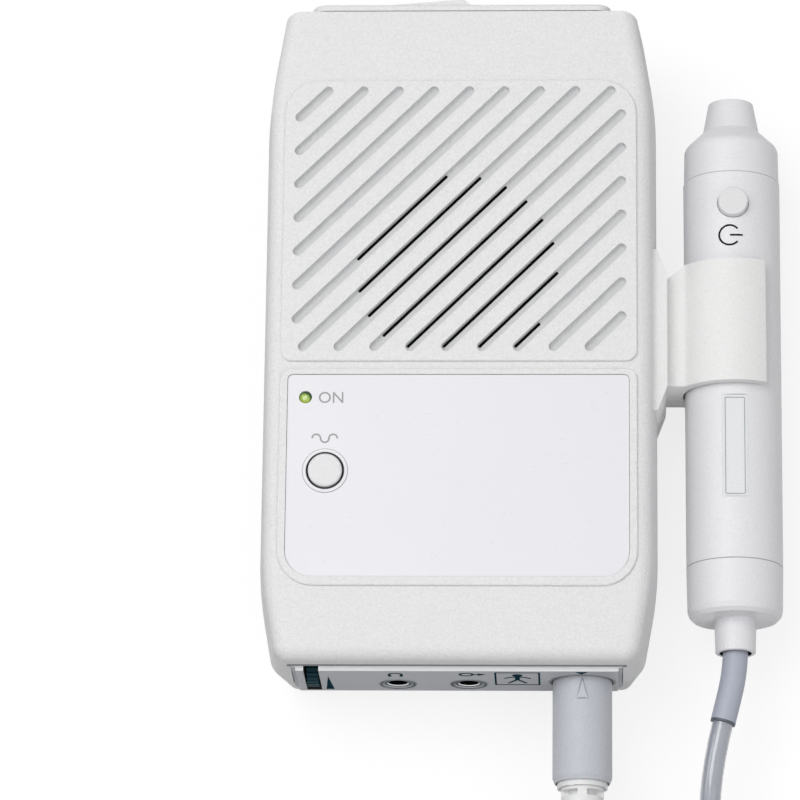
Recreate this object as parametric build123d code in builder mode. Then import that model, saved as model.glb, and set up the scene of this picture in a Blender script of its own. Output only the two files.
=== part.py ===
from build123d import *
import math
import os

os.makedirs("parts", exist_ok=True)

# The unit lies on its back: X across it, Y to its top end, Z out of its front face.
# The origin is on the middle line of the flat back face. Lengths are in millimetres, angles in degrees.

# Case of the main unit
case_width = 76
case_length = 131.2
top_end = 67
case_depth = 31.4
parting_height = 18.5
wall = 2
front_draft = 6
back_draft = 8
front_edge_radius = 2.9
back_edge_radius = 1.8
top_end_width = 70.4
top_taper_length = 17.5
bottom_end_width = 70
bottom_taper_length = 17
side_bend_radius = 70
seam_depth = 0.25
seam_height = 0.3
top_corner_radius = 4.6
bottom_corner_radius = 4.6

# Clearances
moving_gap = 0.3
running_gap = 0.1
seat_gap = 0.1
form_overlap = 0.05

# Raised panels of the front face
panel_rise = 0.6
panel_side_margin = 3.9
panel_edge_radius = 0.3
grille_top_margin = 14.5
grille_length = 57.2
grille_top_corner = 7
panel_inner_corner = 2.2
panel_spacing = 1.5
bezel_length = 42.75
bezel_bottom_corner = 7
plate_margin = 1.6
plate_top_margin = 1.25
plate_bottom_margin = 1.8
plate_thickness = 0.4
plate_sink = 0.3
plate_bottom_corner = 5
plate_top_corner = 1
button_ring_width = 0.6
button_ring_rise = 0.15

# Diagonal grooves of the grille and the slits in them
groove_width = 1.9
groove_depth = 1.3
groove_floor_round = 0.3
groove_step = 6.85
groove_offset = 21.1
groove_side_margin = 3.0
groove_top_margin = 2.3
groove_bottom_margin = 2.85
slit_width = 0.6
slit_aside = 0.58
slit_circle = 38.3

# Loudspeaker
speaker_diameter = 40.4
speaker_rise = 18.2
screen_thickness = 0.3
speaker_flange = 0.9
speaker_rim = 3
speaker_rib_height = 3
speaker_rib_thickness = 1
speaker_basket_depth = 6.2
magnet_diameter = 20
magnet_depth = 4.4
magnet_chamfer = 0.6
basket_wall = 0.8
basket_floor_width = 4
cone_thickness = 0.4
cone_neck_share = 0.4
cone_neck_height = 2.4
cone_centre_height = 4

# Controls on the front face
led_x = -29.1
led_y = -11.9
led_diameter = 2.3
led_proud = -0.15
led_round_share = 0.35
led_flange_reach = 0.4
led_flange_height = 1
cal_x = -25.15
cal_y = -26.5
cal_diameter = 6.5
cal_travel = 0.8
cal_proud = 0.8
guide_wall = 1
guide_depth = 2.4
button_flange = 0.8
button_edge_round = 0.3
switch_width = 6
cal_switch_share = 0.6
probe_switch_share = 0.75
plunger_diameter = 3.4

# Main board
board_thickness = 1.6
board_drop = 6.4
board_width = 65.6
board_bottom_margin = 5.5
board_length = 53.5
board_screw_diameter = 2
board_screw_head = 3.8
board_room = 0.5
board_screws_x = 18.6
board_screws_high = 14
board_screws_low = 48
board_screw_grip = 4.5
can_depth = 6
can_left = -8
can_width = 22
can_low = -42
can_length = 22
can_wall = 0.3

# Case screws
case_screws_x = 30
case_screws_high = 31
case_screws_past_socket = 4.3
case_screw_diameter = 2.5
case_screw_head = 4.6
case_screw_grip = 7
screw_head_depth = 1.6
well_diameter = 5.2
well_depth = 8
well_wall = 1.2
boss_wall = 1.6
screw_tip_wall = 1
screw_cross_share = 0.6
screw_cross_width = 0.5

# Connector panel at the lower end
panel_end_margin = 3.8
panel_step_width = 0.75
panel_step_depth = 0.8
panel_top_margin = 4.8
panel_height = 15.9
panel_proud = 0.1
panel_thickness = 4
panel_flange = 1.4
panel_flange_inset = 0.4
panel_face_round = 0.3
panel_flange_reach = 1.2

# Volume wheel
wheel_from_side = 3.7
wheel_diameter = 16
wheel_thickness = 2.2
wheel_drop = 9.6
wheel_proud = 0.5
wheel_ribs = 40
wheel_rib_depth = 0.35
wheel_room_gap = 0.4
wheel_screw_head = 3.6
wheel_screw_head_height = 0.8
wheel_screw_diameter = 1.2
wheel_screw_grip = 1
spindle_diameter = 3
wheel_slot_width = 2.85
pot_width = 4.5
pot_gap = 0.6
pot_low = 3.1
pot_high = 4.4
pot_drop = 2.5
pot_clearance = 0.5

# Jacks of 3.5 mm
phones_x = -11.4
record_x = 2.1
jack_drop = 10.3
jack_bore = 3.6
jack_ring = 7.2
jack_ring_proud = 0.1
jack_rim_width = 0.4
jack_dish = 0.35
jack_bush_diameter = 6
jack_length = 12.4
jack_width = 8.6

# Socket of the probe connector
socket_from_side = 7.55
socket_drop = 8.6
socket_diameter = 12.5
socket_wall = 0.35
socket_proud = 0.1
socket_length = 17.4
nut_wall = 1.8
nut_thickness = 2.5
insert_length = 7.6
contact_count = 6
contact_circle = 5
contact_diameter = 1.2
contact_depth = 3.8
contact_tail = 3
pin_diameter = 0.7
pin_length = 3.6

# Plug, pushed into the socket
nose_depth = 8.7
nose_gap = 0.6
latch_depth = 2.2
latch_diameter = 11.3
latch_length = 21.8
latch_inside = 9.2
latch_chamfer = 1.0
latch_travel = 1.5
latch_lip = 0.2
latch_tail_step = 0.4
core_tip_chamfer = 0.3
arrow_width = 2.1
arrow_length = 4.1
arrow_start = 0.35
arrow_rise = 0.2
plug_core_diameter = 8.6
plug_tail_diameter = 6.8
collet_diameter = 9.5
collet_wall = 0.45
collet_recess = 1.2
collet_length = 2.6
collet_cover = 1.6
relief_start_diameter = 8.4
relief_end_diameter = 6
relief_length = 22.5
relief_ring = 1.8
relief_gap = 1.2
relief_bar = 1.8
relief_rings = 7
relief_core_diameter = 5.6
relief_bore = 5

# Battery and its cover
battery_body = 46.4
battery_width = 26.5
battery_depth = 17.5
battery_x = -1.8
battery_end_gap = 0.5
battery_corner = 1.2
terminal_length = 2.1
terminal_diameter = 5.6
terminal_spacing = 12.7
snap_thickness = 3
snap_height = 12
snap_margin = 1.5
snap_corner = 3
battery_rib_length = 36
battery_rib_thickness = 1.2
cover_width = 52
cover_start = 36.3
cover_plate_bottom = 0.3
cover_flange = 1
cover_flange_reach = 2
cover_end_width = 58.4
cover_end_thickness = 1.3
cover_end_drop = 0.3
cover_end_corner = 3
cover_edge_round = 0.5
thumb_rise = 1.2
thumb_start = -14.9
thumb_peak_start = -0.2
thumb_peak_end = 0.5
thumb_end = 1.9
thumb_depth = 8
thumb_drop = 0.6
fence_height = 12
fence_thickness = 1
fence_gap = 0.5
label_width = 40
label_length = 25
label_y = -32.5
label_recess = 0.3
label_thickness = 0.2
label_gap = 0.5

# Holder on the right side
holder_low = -7.2
holder_high = 17.3
holder_wall = 1.9
holder_opening = 112
pad_thickness = 1.9
pad_ramp = 5
pad_reach_low = 5.9
pad_reach_high = 2.1
pad_corner = 2
arm_shoulder_x = 43.4
pad_low = 6
pad_high = 27
clip_neck = 14
clip_tip_round = 0.6
clip_root_round = 1.5
holder_screw_diameter = 2
holder_screw_height = 12
holder_screw_spacing = 16
holder_screw_end_wall = 0.6
holder_seat_depth = 1.4
holder_seat_margin = 0.4

# Probe, lying in the holder
probe_x = 52.75
probe_height = 16.5
barrel_radius = 9.4
barrel_low_radius = 9.25
barrel_wall = 1.6
barrel_top = 35.9
barrel_bottom = -41.7
seam_chamfer = 0.15
spigot_length = 2.6
spigot_wall = 1.2
nose_length = 16.7
nose_shoulder = 7.1
nose_shoulder_radius = 9.15
nose_shoulder_round = 2
nose_waist = 10.75
nose_waist_radius = 5.5
nose_inside_drop = 2.3
tip_radius = 4.4
tip_wall = 1
tip_bore_start = 1.5
lens_thickness = 1.4
lens_rim = 0.4
lens_crown = 0.2
lens_round = 0.5
crystal_thickness = 0.6
crystal_gap = 0.5
backing_length = 4.5
cap_length = 10.1
cap_rim_radius = 8.8
cap_rim_round = 0.7
cap_flare_length = 1.7
cap_flare = 0.3
cap_floor = 1.6
neck_length = 6.45
neck_radius = 4.0
neck_bore = 3.05
probe_button_y = 29.3
probe_button_top = 5.6
probe_button_base = 5.9
probe_button_flange = 7.6
probe_board_width = 15
probe_board_drop = 1.2
probe_button_proud = 1.25
probe_button_travel = 0.8
probe_label_y = -19.6
probe_label_width = 5.0
probe_label_length = 20.4
probe_label_depth = 0.55
probe_label_thickness = 0.2
probe_label_gap = 0.2
probe_label_corner = 0.3

# Cord
cord_diameter = 4
cord_sleeve_diameter = 4.8
sleeve_flange_diameter = 9
sleeve_flange = 1.2
clamp_width = 9
clamp_length = 4
clamp_height = 5
route_bend_share = 0.45
floor_gap = 0.02
coil_x = 42
coil_y = -155
coil_inside_radius = 17
coil_spacing = 4.45
coil_half_turns = 4
coil_layers = 4

# Places worked out from the sizes above
half_width = case_width / 2
bottom_end = top_end - case_length
top_bend = top_end - top_taper_length
bottom_bend = bottom_end + bottom_taper_length
side_slope = (case_width - top_end_width) / 2 / top_taper_length
ceiling = case_depth - wall
panel_top = case_depth + panel_rise
panel_half = half_width - panel_side_margin
panel_high = case_depth - panel_top_margin
panel_low = panel_high - panel_height
wheel_height = panel_high - wheel_drop
jack_height = panel_high - jack_drop
socket_height = panel_high - socket_drop
grille_top = top_end - grille_top_margin
grille_bottom = grille_top - grille_length
bezel_top = grille_bottom - panel_spacing
bezel_bottom = bezel_top - bezel_length
plate_top = panel_top - plate_sink
speaker_y = grille_bottom + speaker_rise
speaker_radius = speaker_diameter / 2
board_top = ceiling - board_drop
board_height = board_top - board_thickness
board_bottom_y = bottom_end + board_bottom_margin
panel_half_width = bottom_end_width / 2 - panel_end_margin
panel_face = bottom_end - panel_proud
panel_back = panel_face + panel_thickness
flange_back = panel_back + panel_flange
past_end = 8
wheel_x = wheel_from_side - bottom_end_width / 2 + panel_end_margin
socket_x = panel_half_width - socket_from_side
socket_front = panel_face - socket_proud
socket_back = socket_front + socket_length
nose_end = socket_front + nose_depth
insert_front = nose_end + nose_gap
insert_back = insert_front + insert_length
contact_back = insert_back + contact_tail


def case_plan(height, inset, end, end_corner=0):
    """Plan of the case at one height, inset from its outline and cut off at one end."""
    half = half_width - inset
    with BuildSketch(Plane.XY.offset(height)) as plan:
        with BuildLine():
            FilletPolyline(
                (0, bottom_end + inset),
                (bottom_end_width / 2 - inset, bottom_end + inset),
                (half, bottom_bend),
                (half, top_bend),
                (half - side_slope * (end - top_bend), end),
                (0, end),
                radius=[bottom_corner_radius - inset, side_bend_radius, side_bend_radius, end_corner],
            )
            mirror(about=Plane.YZ)
        make_face()
    return plan.sketch


def turned_profile(plane, points):
    """Closed profile of a turned piece: distance from its axis, then place along it."""
    with BuildSketch(plane) as profile:
        with BuildLine():
            Polyline(*points, close=True)
        make_face()
    return profile.sketch


def upright(x, y):
    """Plane and axis of a piece turned about a line along Z."""
    return Plane(origin=(x, y, 0), x_dir=(1, 0, 0), z_dir=(0, -1, 0)), Axis((x, y, 0), (0, 0, 1))


def lengthwise(x, z):
    """Plane and axis of a piece turned about a line along Y."""
    return Plane(origin=(x, 0, z), x_dir=(1, 0, 0), z_dir=(0, 0, 1)), Axis((x, 0, z), (0, 1, 0))


def crosswise(y, z):
    """Plane and axis of a piece turned about a line along X."""
    return Plane(origin=(0, y, z), x_dir=(0, 1, 0), z_dir=(0, 0, -1)), Axis((0, y, z), (1, 0, 0))


def box_between(x_range, y_range, z_range, mode=Mode.ADD):
    """Box given by its lowest and highest corner along each axis."""
    spans = [high - low for low, high in (x_range, y_range, z_range)]
    middle = [(high + low) / 2 for low, high in (x_range, y_range, z_range)]
    with Locations(tuple(middle)):
        Box(*spans, mode=mode)


# Solid forms of the two case halves, drafted away from the parting line and cut square at the top end
end_plane = Plane(origin=(0, top_end - wall, 0), z_dir=(0, 1, 0))

with BuildPart() as front_form:
    extrude(case_plan(parting_height, 0, top_end + past_end), amount=case_depth - parting_height,
            taper=front_draft)
    fillet(front_form.faces().sort_by(Axis.Z)[-1].edges().sort_by(Axis.Y)[:-1], front_edge_radius)
    extrude(case_plan(0, -form_overlap, top_end, top_corner_radius), amount=case_depth + wall,
            mode=Mode.INTERSECT)

with BuildPart() as back_form:
    extrude(case_plan(parting_height, 0, top_end + past_end), amount=parting_height, dir=(0, 0, -1),
            taper=back_draft)
    fillet(back_form.faces().sort_by(Axis.Z)[0].edges().sort_by(Axis.Y)[:-1], back_edge_radius)
    extrude(case_plan(-wall, -form_overlap, top_end, top_corner_radius), amount=case_depth + wall,
            mode=Mode.INTERSECT)

with BuildPart() as seam_ring:
    extrude(case_plan(parting_height, -wall, top_end + past_end), amount=-seam_height)
    extrude(case_plan(parting_height, seam_depth, top_end + past_end), amount=-seam_height,
            mode=Mode.SUBTRACT)

with BuildPart() as front_cavity:
    extrude(case_plan(parting_height, wall, top_end + past_end), amount=ceiling - parting_height,
            taper=front_draft)
    split(bisect_by=end_plane, keep=Keep.BOTTOM)

with BuildPart() as back_cavity:
    extrude(case_plan(parting_height, wall, top_end + past_end), amount=parting_height - wall,
            dir=(0, 0, -1), taper=back_draft)
    split(bisect_by=end_plane, keep=Keep.BOTTOM)

# Room that the volume wheel turns in
wheel_radius = wheel_diameter / 2
wheel_y = panel_face - wheel_proud + wheel_radius
wheel_room_radius = wheel_radius + wheel_room_gap
wheel_plane, wheel_axis = crosswise(wheel_y, wheel_height)
wheel_left = wheel_x - wheel_thickness / 2
wheel_right = wheel_x + wheel_thickness / 2

with BuildPart() as wheel_room:
    with BuildSketch(Plane.YZ.offset(wheel_x - wheel_slot_width / 2)):
        with Locations((wheel_y, wheel_height)):
            Circle(wheel_room_radius)
    extrude(amount=wheel_slot_width)


# Grille panel and control bezel, raised on the front face
def raised_panel(low, high, low_corner, high_corner):
    """Plan of a raised panel between two places along the case."""
    with BuildSketch(Plane.XY.offset(case_depth - wall / 2)) as plan:
        with Locations((0, (low + high) / 2)):
            Rectangle(2 * panel_half, high - low)
        fillet(plan.vertices().group_by(Axis.Y)[0], low_corner)
        fillet(plan.vertices().group_by(Axis.Y)[-1], high_corner)
    return plan.sketch


with BuildPart() as raised_panels:
    extrude(raised_panel(grille_bottom, grille_top, panel_inner_corner, grille_top_corner),
            amount=wall / 2 + panel_rise)
    extrude(raised_panel(bezel_bottom, bezel_top, bezel_bottom_corner, panel_inner_corner),
            amount=wall / 2 + panel_rise)
    fillet(raised_panels.edges().group_by(Axis.Z)[-1], panel_edge_radius)


# Grooves run up to the right at 45 degrees, along lines where Y is X plus a shift
def groove_span(shift):
    """Lowest and highest X of a groove's centre line inside the grille panel."""
    low = max(groove_side_margin - panel_half, grille_bottom + groove_bottom_margin - shift)
    high = min(panel_half - groove_side_margin, grille_top - groove_top_margin - shift)
    return low, high


def slit_span(shift):
    """Lowest and highest X of a slit: the part of its groove over the loudspeaker."""
    off_centre = speaker_y - shift
    half_chord = math.sqrt(max(slit_circle**2 / 4 - off_centre**2 / 2, 0) / 2)
    low, high = groove_span(shift)
    return max(low, off_centre / 2 - half_chord), min(high, off_centre / 2 + half_chord)


def diagonal_slot(span, shift, width, aside=0):
    """Slot in the present sketch along one groove line, or to its upper side by a distance."""
    middle = (span[0] + span[1]) / 2
    with Locations((middle - aside / math.sqrt(2), middle + shift + aside / math.sqrt(2))):
        SlotCenterToCenter((span[1] - span[0]) * math.sqrt(2), width, rotation=45)


most_grooves = math.ceil((case_length + case_width) / groove_step)
all_shifts = [groove_offset + groove_step * number for number in range(-most_grooves, most_grooves)]
groove_shifts = [shift for shift in all_shifts if groove_span(shift)[1] - groove_span(shift)[0] > groove_width]
slit_shifts = [shift for shift in groove_shifts if slit_span(shift)[1] - slit_span(shift)[0] > groove_width]

with BuildPart() as grooves:
    with BuildSketch(Plane.XY.offset(panel_top)):
        for shift in groove_shifts:
            diagonal_slot(groove_span(shift), shift, groove_width)
    extrude(amount=-groove_depth)
    fillet(grooves.edges().group_by(Axis.Z)[0], groove_floor_round)

with BuildPart() as slits:
    with BuildSketch(Plane.XY.offset(panel_top)):
        for shift in slit_shifts:
            diagonal_slot(slit_span(shift), shift, slit_width, slit_aside)
    extrude(amount=ceiling - panel_top - wall)

# Screw places, taken from the middle of the case
case_screws_low_y = contact_back + case_screws_past_socket
case_screw_places = [
    (side * case_screws_x, y) for side in (-1, 1) for y in (case_screws_high, case_screws_low_y)
]
board_screw_beside_socket = (record_x + jack_width / 2 + socket_x - socket_diameter / 2 - nut_wall) / 2
board_screw_places = [
    (-board_screws_x, -board_screws_high),
    (board_screws_x, -board_screws_high),
    (-board_screws_x, -board_screws_low),
    (board_screw_beside_socket, -board_screws_low),
]
front_boss_diameter = case_screw_diameter + 2 * boss_wall
board_boss_diameter = board_screw_diameter + 2 * boss_wall
speaker_plane, speaker_axis = upright(0, speaker_y)
cover_flange_bottom = wall + moving_gap
cover_flange_top = cover_flange_bottom + cover_flange
battery_bottom = cover_flange_top + moving_gap
battery_top = battery_bottom + battery_depth
battery_high = top_end - wall - battery_end_gap
battery_low = battery_high - battery_width
cal_hole = cal_diameter / 2 + moving_gap
guide_bottom = ceiling - guide_depth
plate_bottom = plate_top - plate_thickness
panel_cut_half = panel_half_width + seat_gap
panel_cut_along = (panel_face - wall, panel_back)


def plate_plan(outset):
    """Plan of the control plate at its underside, or of its pocket, a little larger."""
    low = bezel_bottom + plate_bottom_margin - outset
    high = bezel_top - plate_top_margin + outset
    with BuildSketch(Plane.XY.offset(plate_bottom)) as plan:
        with Locations((0, (low + high) / 2)):
            Rectangle(2 * (panel_half - plate_margin + outset), high - low)
        fillet(plan.vertices().group_by(Axis.Y)[0], plate_bottom_corner + outset)
        fillet(plan.vertices().group_by(Axis.Y)[-1], plate_top_corner + outset)
    return plan.sketch


# Front shell
with BuildPart() as front_shell:
    add(front_form.part)
    add(front_cavity.part, mode=Mode.SUBTRACT)
    # bosses for the case and board screws
    with BuildSketch(Plane.XY.offset(parting_height)):
        with Locations(*case_screw_places):
            Circle(front_boss_diameter / 2)
    extrude(amount=ceiling - parting_height + wall / 4)
    with BuildSketch(Plane.XY.offset(board_top)):
        with Locations(*board_screw_places):
            Circle(board_boss_diameter / 2)
    extrude(amount=ceiling - board_top + wall / 4)
    # rib round the loudspeaker
    with BuildSketch(Plane.XY.offset(ceiling - speaker_rib_height)):
        with Locations((0, speaker_y)):
            Circle(speaker_radius + seat_gap + speaker_rib_thickness)
            Circle(speaker_radius + seat_gap, mode=Mode.SUBTRACT)
    extrude(amount=speaker_rib_height + wall / 4)
    # ribs that hold the battery down
    for place in (battery_low + battery_width / 4, battery_high - battery_width / 4):
        box_between((battery_x - battery_rib_length / 2, battery_x + battery_rib_length / 2),
                    (place - battery_rib_thickness / 2, place + battery_rib_thickness / 2),
                    (battery_top + seat_gap, ceiling + wall / 4))
    # guide of the round button
    with BuildSketch(Plane.XY.offset(guide_bottom)):
        with Locations((cal_x, cal_y)):
            Circle(cal_hole + guide_wall)
    extrude(amount=guide_depth + wall / 4)
    add(front_form.part, mode=Mode.INTERSECT)
    add(raised_panels.part)
    # openings
    add(grooves.part, mode=Mode.SUBTRACT)
    add(slits.part, mode=Mode.SUBTRACT)
    extrude(plate_plan(seat_gap), amount=wall, mode=Mode.SUBTRACT)
    with BuildSketch(Plane.XY.offset(parting_height)):
        with Locations((cal_x, cal_y)):
            Circle(cal_hole)
        with Locations((led_x, led_y)):
            Circle(led_diameter / 2 + seat_gap)
    extrude(amount=case_depth, mode=Mode.SUBTRACT)
    with BuildSketch(Plane.XY.offset(parting_height)):
        with Locations(*case_screw_places):
            Circle(case_screw_diameter / 2)
        with Locations(*board_screw_places):
            Circle(board_screw_diameter / 2)
    extrude(amount=ceiling - parting_height - screw_tip_wall, mode=Mode.SUBTRACT)
    box_between((-panel_cut_half, panel_cut_half), panel_cut_along,
                (panel_low - seat_gap, panel_high + seat_gap), mode=Mode.SUBTRACT)
    add(wheel_room.part, mode=Mode.SUBTRACT)
front_shell.part.label = "front_shell"
export_step(front_shell.part, "parts/front_shell.step")

# Back shell
cover_half = cover_width / 2
cover_flange_half = cover_half + cover_flange_reach
fence_half = cover_flange_half + moving_gap + fence_gap
fence_top = wall + fence_height
fence_low = cover_start - fence_gap
holder_middle = (holder_low + holder_high) / 2
holder_screw_places = [
    (holder_middle + side * holder_screw_spacing / 2, holder_screw_height) for side in (-1, 1)
]
holder_screw_end = half_width + pad_thickness - holder_screw_end_wall
seat_x = half_width - wall - holder_seat_depth

with BuildPart() as back_shell:
    add(back_form.part)
    add(back_cavity.part, mode=Mode.SUBTRACT)
    # bosses, wider round the wells of the screw heads
    with BuildSketch(Plane.XY.offset(wall / 2)):
        with Locations(*case_screw_places):
            Circle(well_diameter / 2 + well_wall)
    extrude(amount=well_depth + wall / 2)
    with BuildSketch(Plane.XY.offset(wall / 2)):
        with Locations(*case_screw_places):
            Circle(front_boss_diameter / 2)
    extrude(amount=parting_height - wall / 2)
    # fence round the battery
    box_between((-fence_half - fence_thickness, fence_half + fence_thickness),
                (fence_low - fence_thickness, top_end - wall), (wall / 2, fence_top))
    box_between((-fence_half, fence_half), (fence_low, top_end - wall), (wall, fence_top + wall),
                mode=Mode.SUBTRACT)
    # flat seats for the holder's screws on the inside of the right wall
    with BuildSketch(Plane.YZ.offset(seat_x)):
        with Locations(*holder_screw_places):
            Circle(holder_screw_diameter + holder_seat_margin)
    extrude(amount=wall)
    add(back_form.part, mode=Mode.INTERSECT)
    # openings for the battery cover, its flange, the screws, the connector panel and the wheel
    box_between((-cover_half - moving_gap, cover_half + moving_gap), (cover_start - moving_gap, top_end + wall),
                (-wall, wall), mode=Mode.SUBTRACT)
    box_between((-cover_flange_half - moving_gap, cover_flange_half + moving_gap),
                (top_end - 2 * wall, top_end + wall), (wall / 2, battery_bottom), mode=Mode.SUBTRACT)
    with BuildSketch(Plane.XY):
        with Locations(*case_screw_places):
            Circle(well_diameter / 2)
    extrude(amount=well_depth, mode=Mode.SUBTRACT)
    with BuildSketch(Plane.XY):
        with Locations(*case_screw_places):
            Circle(case_screw_diameter / 2 + running_gap)
    extrude(amount=parting_height, mode=Mode.SUBTRACT)
    box_between((-panel_cut_half, panel_cut_half), panel_cut_along,
                (panel_low - seat_gap, panel_high), mode=Mode.SUBTRACT)
    add(wheel_room.part, mode=Mode.SUBTRACT)
    add(seam_ring.part, mode=Mode.SUBTRACT)
    with BuildSketch(Plane.YZ.offset(seat_x)):
        with Locations(*holder_screw_places):
            Circle(holder_screw_diameter / 2)
    extrude(amount=3 * wall, mode=Mode.SUBTRACT)
    box_between((-label_width / 2, label_width / 2), (label_y - label_length / 2, label_y + label_length / 2),
                (-wall, label_recess), mode=Mode.SUBTRACT)
back_shell.part.label = "back_shell"
export_step(back_shell.part, "parts/back_shell.step")

# Bare label in its recess on the back
with BuildPart() as rating_label:
    with BuildSketch(Plane.XY.offset(label_recess - label_thickness)):
        with Locations((0, label_y)):
            RectangleRounded(label_width - 2 * label_gap, label_length - 2 * label_gap, label_gap)
    extrude(amount=label_thickness)
rating_label.part.label = "rating_label"
export_step(rating_label.part, "parts/rating_label.step")

# Case screws, put in from the back
with BuildPart() as case_screws:
    with BuildSketch(Plane.XY.offset(well_depth - screw_head_depth)):
        with Locations(*case_screw_places):
            Circle(case_screw_head / 2)
    extrude(amount=screw_head_depth)
    with BuildSketch(Plane.XY.offset(well_depth)):
        with Locations(*case_screw_places):
            Circle(case_screw_diameter / 2)
    extrude(amount=parting_height - well_depth + case_screw_grip)
    with BuildSketch(Plane.XY.offset(well_depth - screw_head_depth)):
        with Locations(*case_screw_places):
            Rectangle(case_screw_head * screw_cross_share, screw_cross_width)
            Rectangle(screw_cross_width, case_screw_head * screw_cross_share)
    extrude(amount=screw_head_depth / 2, mode=Mode.SUBTRACT)
case_screws.part.label = "case_screws"
export_step(case_screws.part, "parts/case_screws.step")

# Control plate in the bezel, with a fine ring round the button
with BuildPart() as face_plate:
    extrude(plate_plan(0), amount=plate_thickness)
    with BuildSketch(Plane.XY.offset(plate_top)):
        with Locations((cal_x, cal_y)):
            Circle(cal_hole + seat_gap + button_ring_width)
            Circle(cal_hole + seat_gap, mode=Mode.SUBTRACT)
    extrude(amount=button_ring_rise)
    with BuildSketch(Plane.XY.offset(plate_bottom)):
        with Locations((cal_x, cal_y)):
            Circle(cal_hole)
        with Locations((led_x, led_y)):
            Circle(led_diameter / 2 + seat_gap)
    extrude(amount=plate_thickness, mode=Mode.SUBTRACT)
face_plate.part.label = "face_plate"
export_step(face_plate.part, "parts/face_plate.step")

# Round push button, kept in by its flange under the guide
cal_flange_top = guide_bottom - moving_gap
cal_bottom = cal_flange_top - button_flange

with BuildPart() as cal_button:
    with BuildSketch(Plane.XY.offset(cal_bottom)):
        with Locations((cal_x, cal_y)):
            Circle(cal_hole + guide_wall / 2)
    extrude(amount=button_flange)
    with BuildSketch(Plane.XY.offset(cal_bottom)):
        with Locations((cal_x, cal_y)):
            Circle(cal_diameter / 2)
    extrude(amount=plate_top + cal_proud - cal_bottom)
    fillet(cal_button.edges().group_by(Axis.Z)[-1], cal_proud / 2)
cal_button.part.label = "cal_button"
export_step(cal_button.part, "parts/cal_button.step")

# Switch under the button, its plunger just clear of the button's full travel
cal_plunger_top = cal_bottom - cal_travel - running_gap
cal_switch_body = (cal_plunger_top - board_top) * cal_switch_share

with BuildPart() as cal_switch:
    box_between((cal_x - switch_width / 2, cal_x + switch_width / 2),
                (cal_y - switch_width / 2, cal_y + switch_width / 2),
                (board_top, board_top + cal_switch_body))
    with BuildSketch(Plane.XY.offset(board_top)):
        with Locations((cal_x, cal_y)):
            Circle(plunger_diameter / 2)
    extrude(amount=cal_plunger_top - board_top)
cal_switch.part.label = "cal_switch"
export_step(cal_switch.part, "parts/cal_switch.step")

# Lamp, standing on the board and showing through the plate
with BuildPart() as power_led:
    with BuildSketch(Plane.XY.offset(board_top)):
        with Locations((led_x, led_y)):
            Circle(led_diameter / 2 + led_flange_reach)
    extrude(amount=led_flange_height)
    with BuildSketch(Plane.XY.offset(board_top)):
        with Locations((led_x, led_y)):
            Circle(led_diameter / 2)
    extrude(amount=plate_top + led_proud - board_top)
    fillet(power_led.edges().group_by(Axis.Z)[-1], led_round_share * led_diameter)
power_led.part.label = "power_led"
export_step(power_led.part, "parts/power_led.step")

# Loudspeaker, from its dust screen under the grille down to the magnet
screen_bottom = ceiling - screen_thickness
basket_top = screen_bottom - speaker_flange
basket_bottom = basket_top - speaker_basket_depth
cone_radius = speaker_radius - speaker_rim
cone_neck_radius = cone_neck_share * cone_radius
magnet_radius = magnet_diameter / 2

with BuildPart() as speaker_screen:
    with BuildSketch(Plane.XY.offset(screen_bottom)):
        with Locations((0, speaker_y)):
            Circle(speaker_radius)
    extrude(amount=screen_thickness)
speaker_screen.part.label = "speaker_screen"
export_step(speaker_screen.part, "parts/speaker_screen.step")

with BuildPart() as speaker_frame:
    revolve(turned_profile(speaker_plane, [
        (speaker_radius, screen_bottom),
        (speaker_radius, basket_top),
        (cone_radius + basket_wall, basket_top),
        (magnet_radius, basket_bottom),
        (magnet_radius - basket_floor_width, basket_bottom),
        (magnet_radius - basket_floor_width, basket_bottom + basket_wall),
        (magnet_radius - basket_wall, basket_bottom + basket_wall),
        (cone_radius, basket_top),
        (cone_radius, screen_bottom),
    ]), axis=speaker_axis)
speaker_frame.part.label = "speaker_frame"
export_step(speaker_frame.part, "parts/speaker_frame.step")

with BuildPart() as speaker_cone:
    revolve(turned_profile(speaker_plane, [
        (cone_radius, basket_top + cone_thickness),
        (cone_radius, basket_top),
        (cone_neck_radius, basket_bottom + cone_neck_height),
        (0, basket_bottom + cone_centre_height),
        (0, basket_bottom + cone_centre_height + cone_thickness),
        (cone_neck_radius, basket_bottom + cone_neck_height + cone_thickness),
    ]), axis=speaker_axis)
speaker_cone.part.label = "speaker_cone"
export_step(speaker_cone.part, "parts/speaker_cone.step")

with BuildPart() as speaker_magnet:
    with BuildSketch(Plane.XY.offset(basket_bottom - magnet_depth)):
        with Locations((0, speaker_y)):
            Circle(magnet_radius)
    extrude(amount=magnet_depth)
    chamfer(speaker_magnet.edges().group_by(Axis.Z)[0], magnet_chamfer)
speaker_magnet.part.label = "speaker_magnet"
export_step(speaker_magnet.part, "parts/speaker_magnet.step")

# Main board, notched for the case bosses, the wheel and the probe socket
board_high_y = board_bottom_y + board_length
board_half = board_width / 2
socket_radius = socket_diameter / 2
socket_inside = socket_radius - socket_wall
nut_radius = socket_radius + nut_wall

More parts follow.
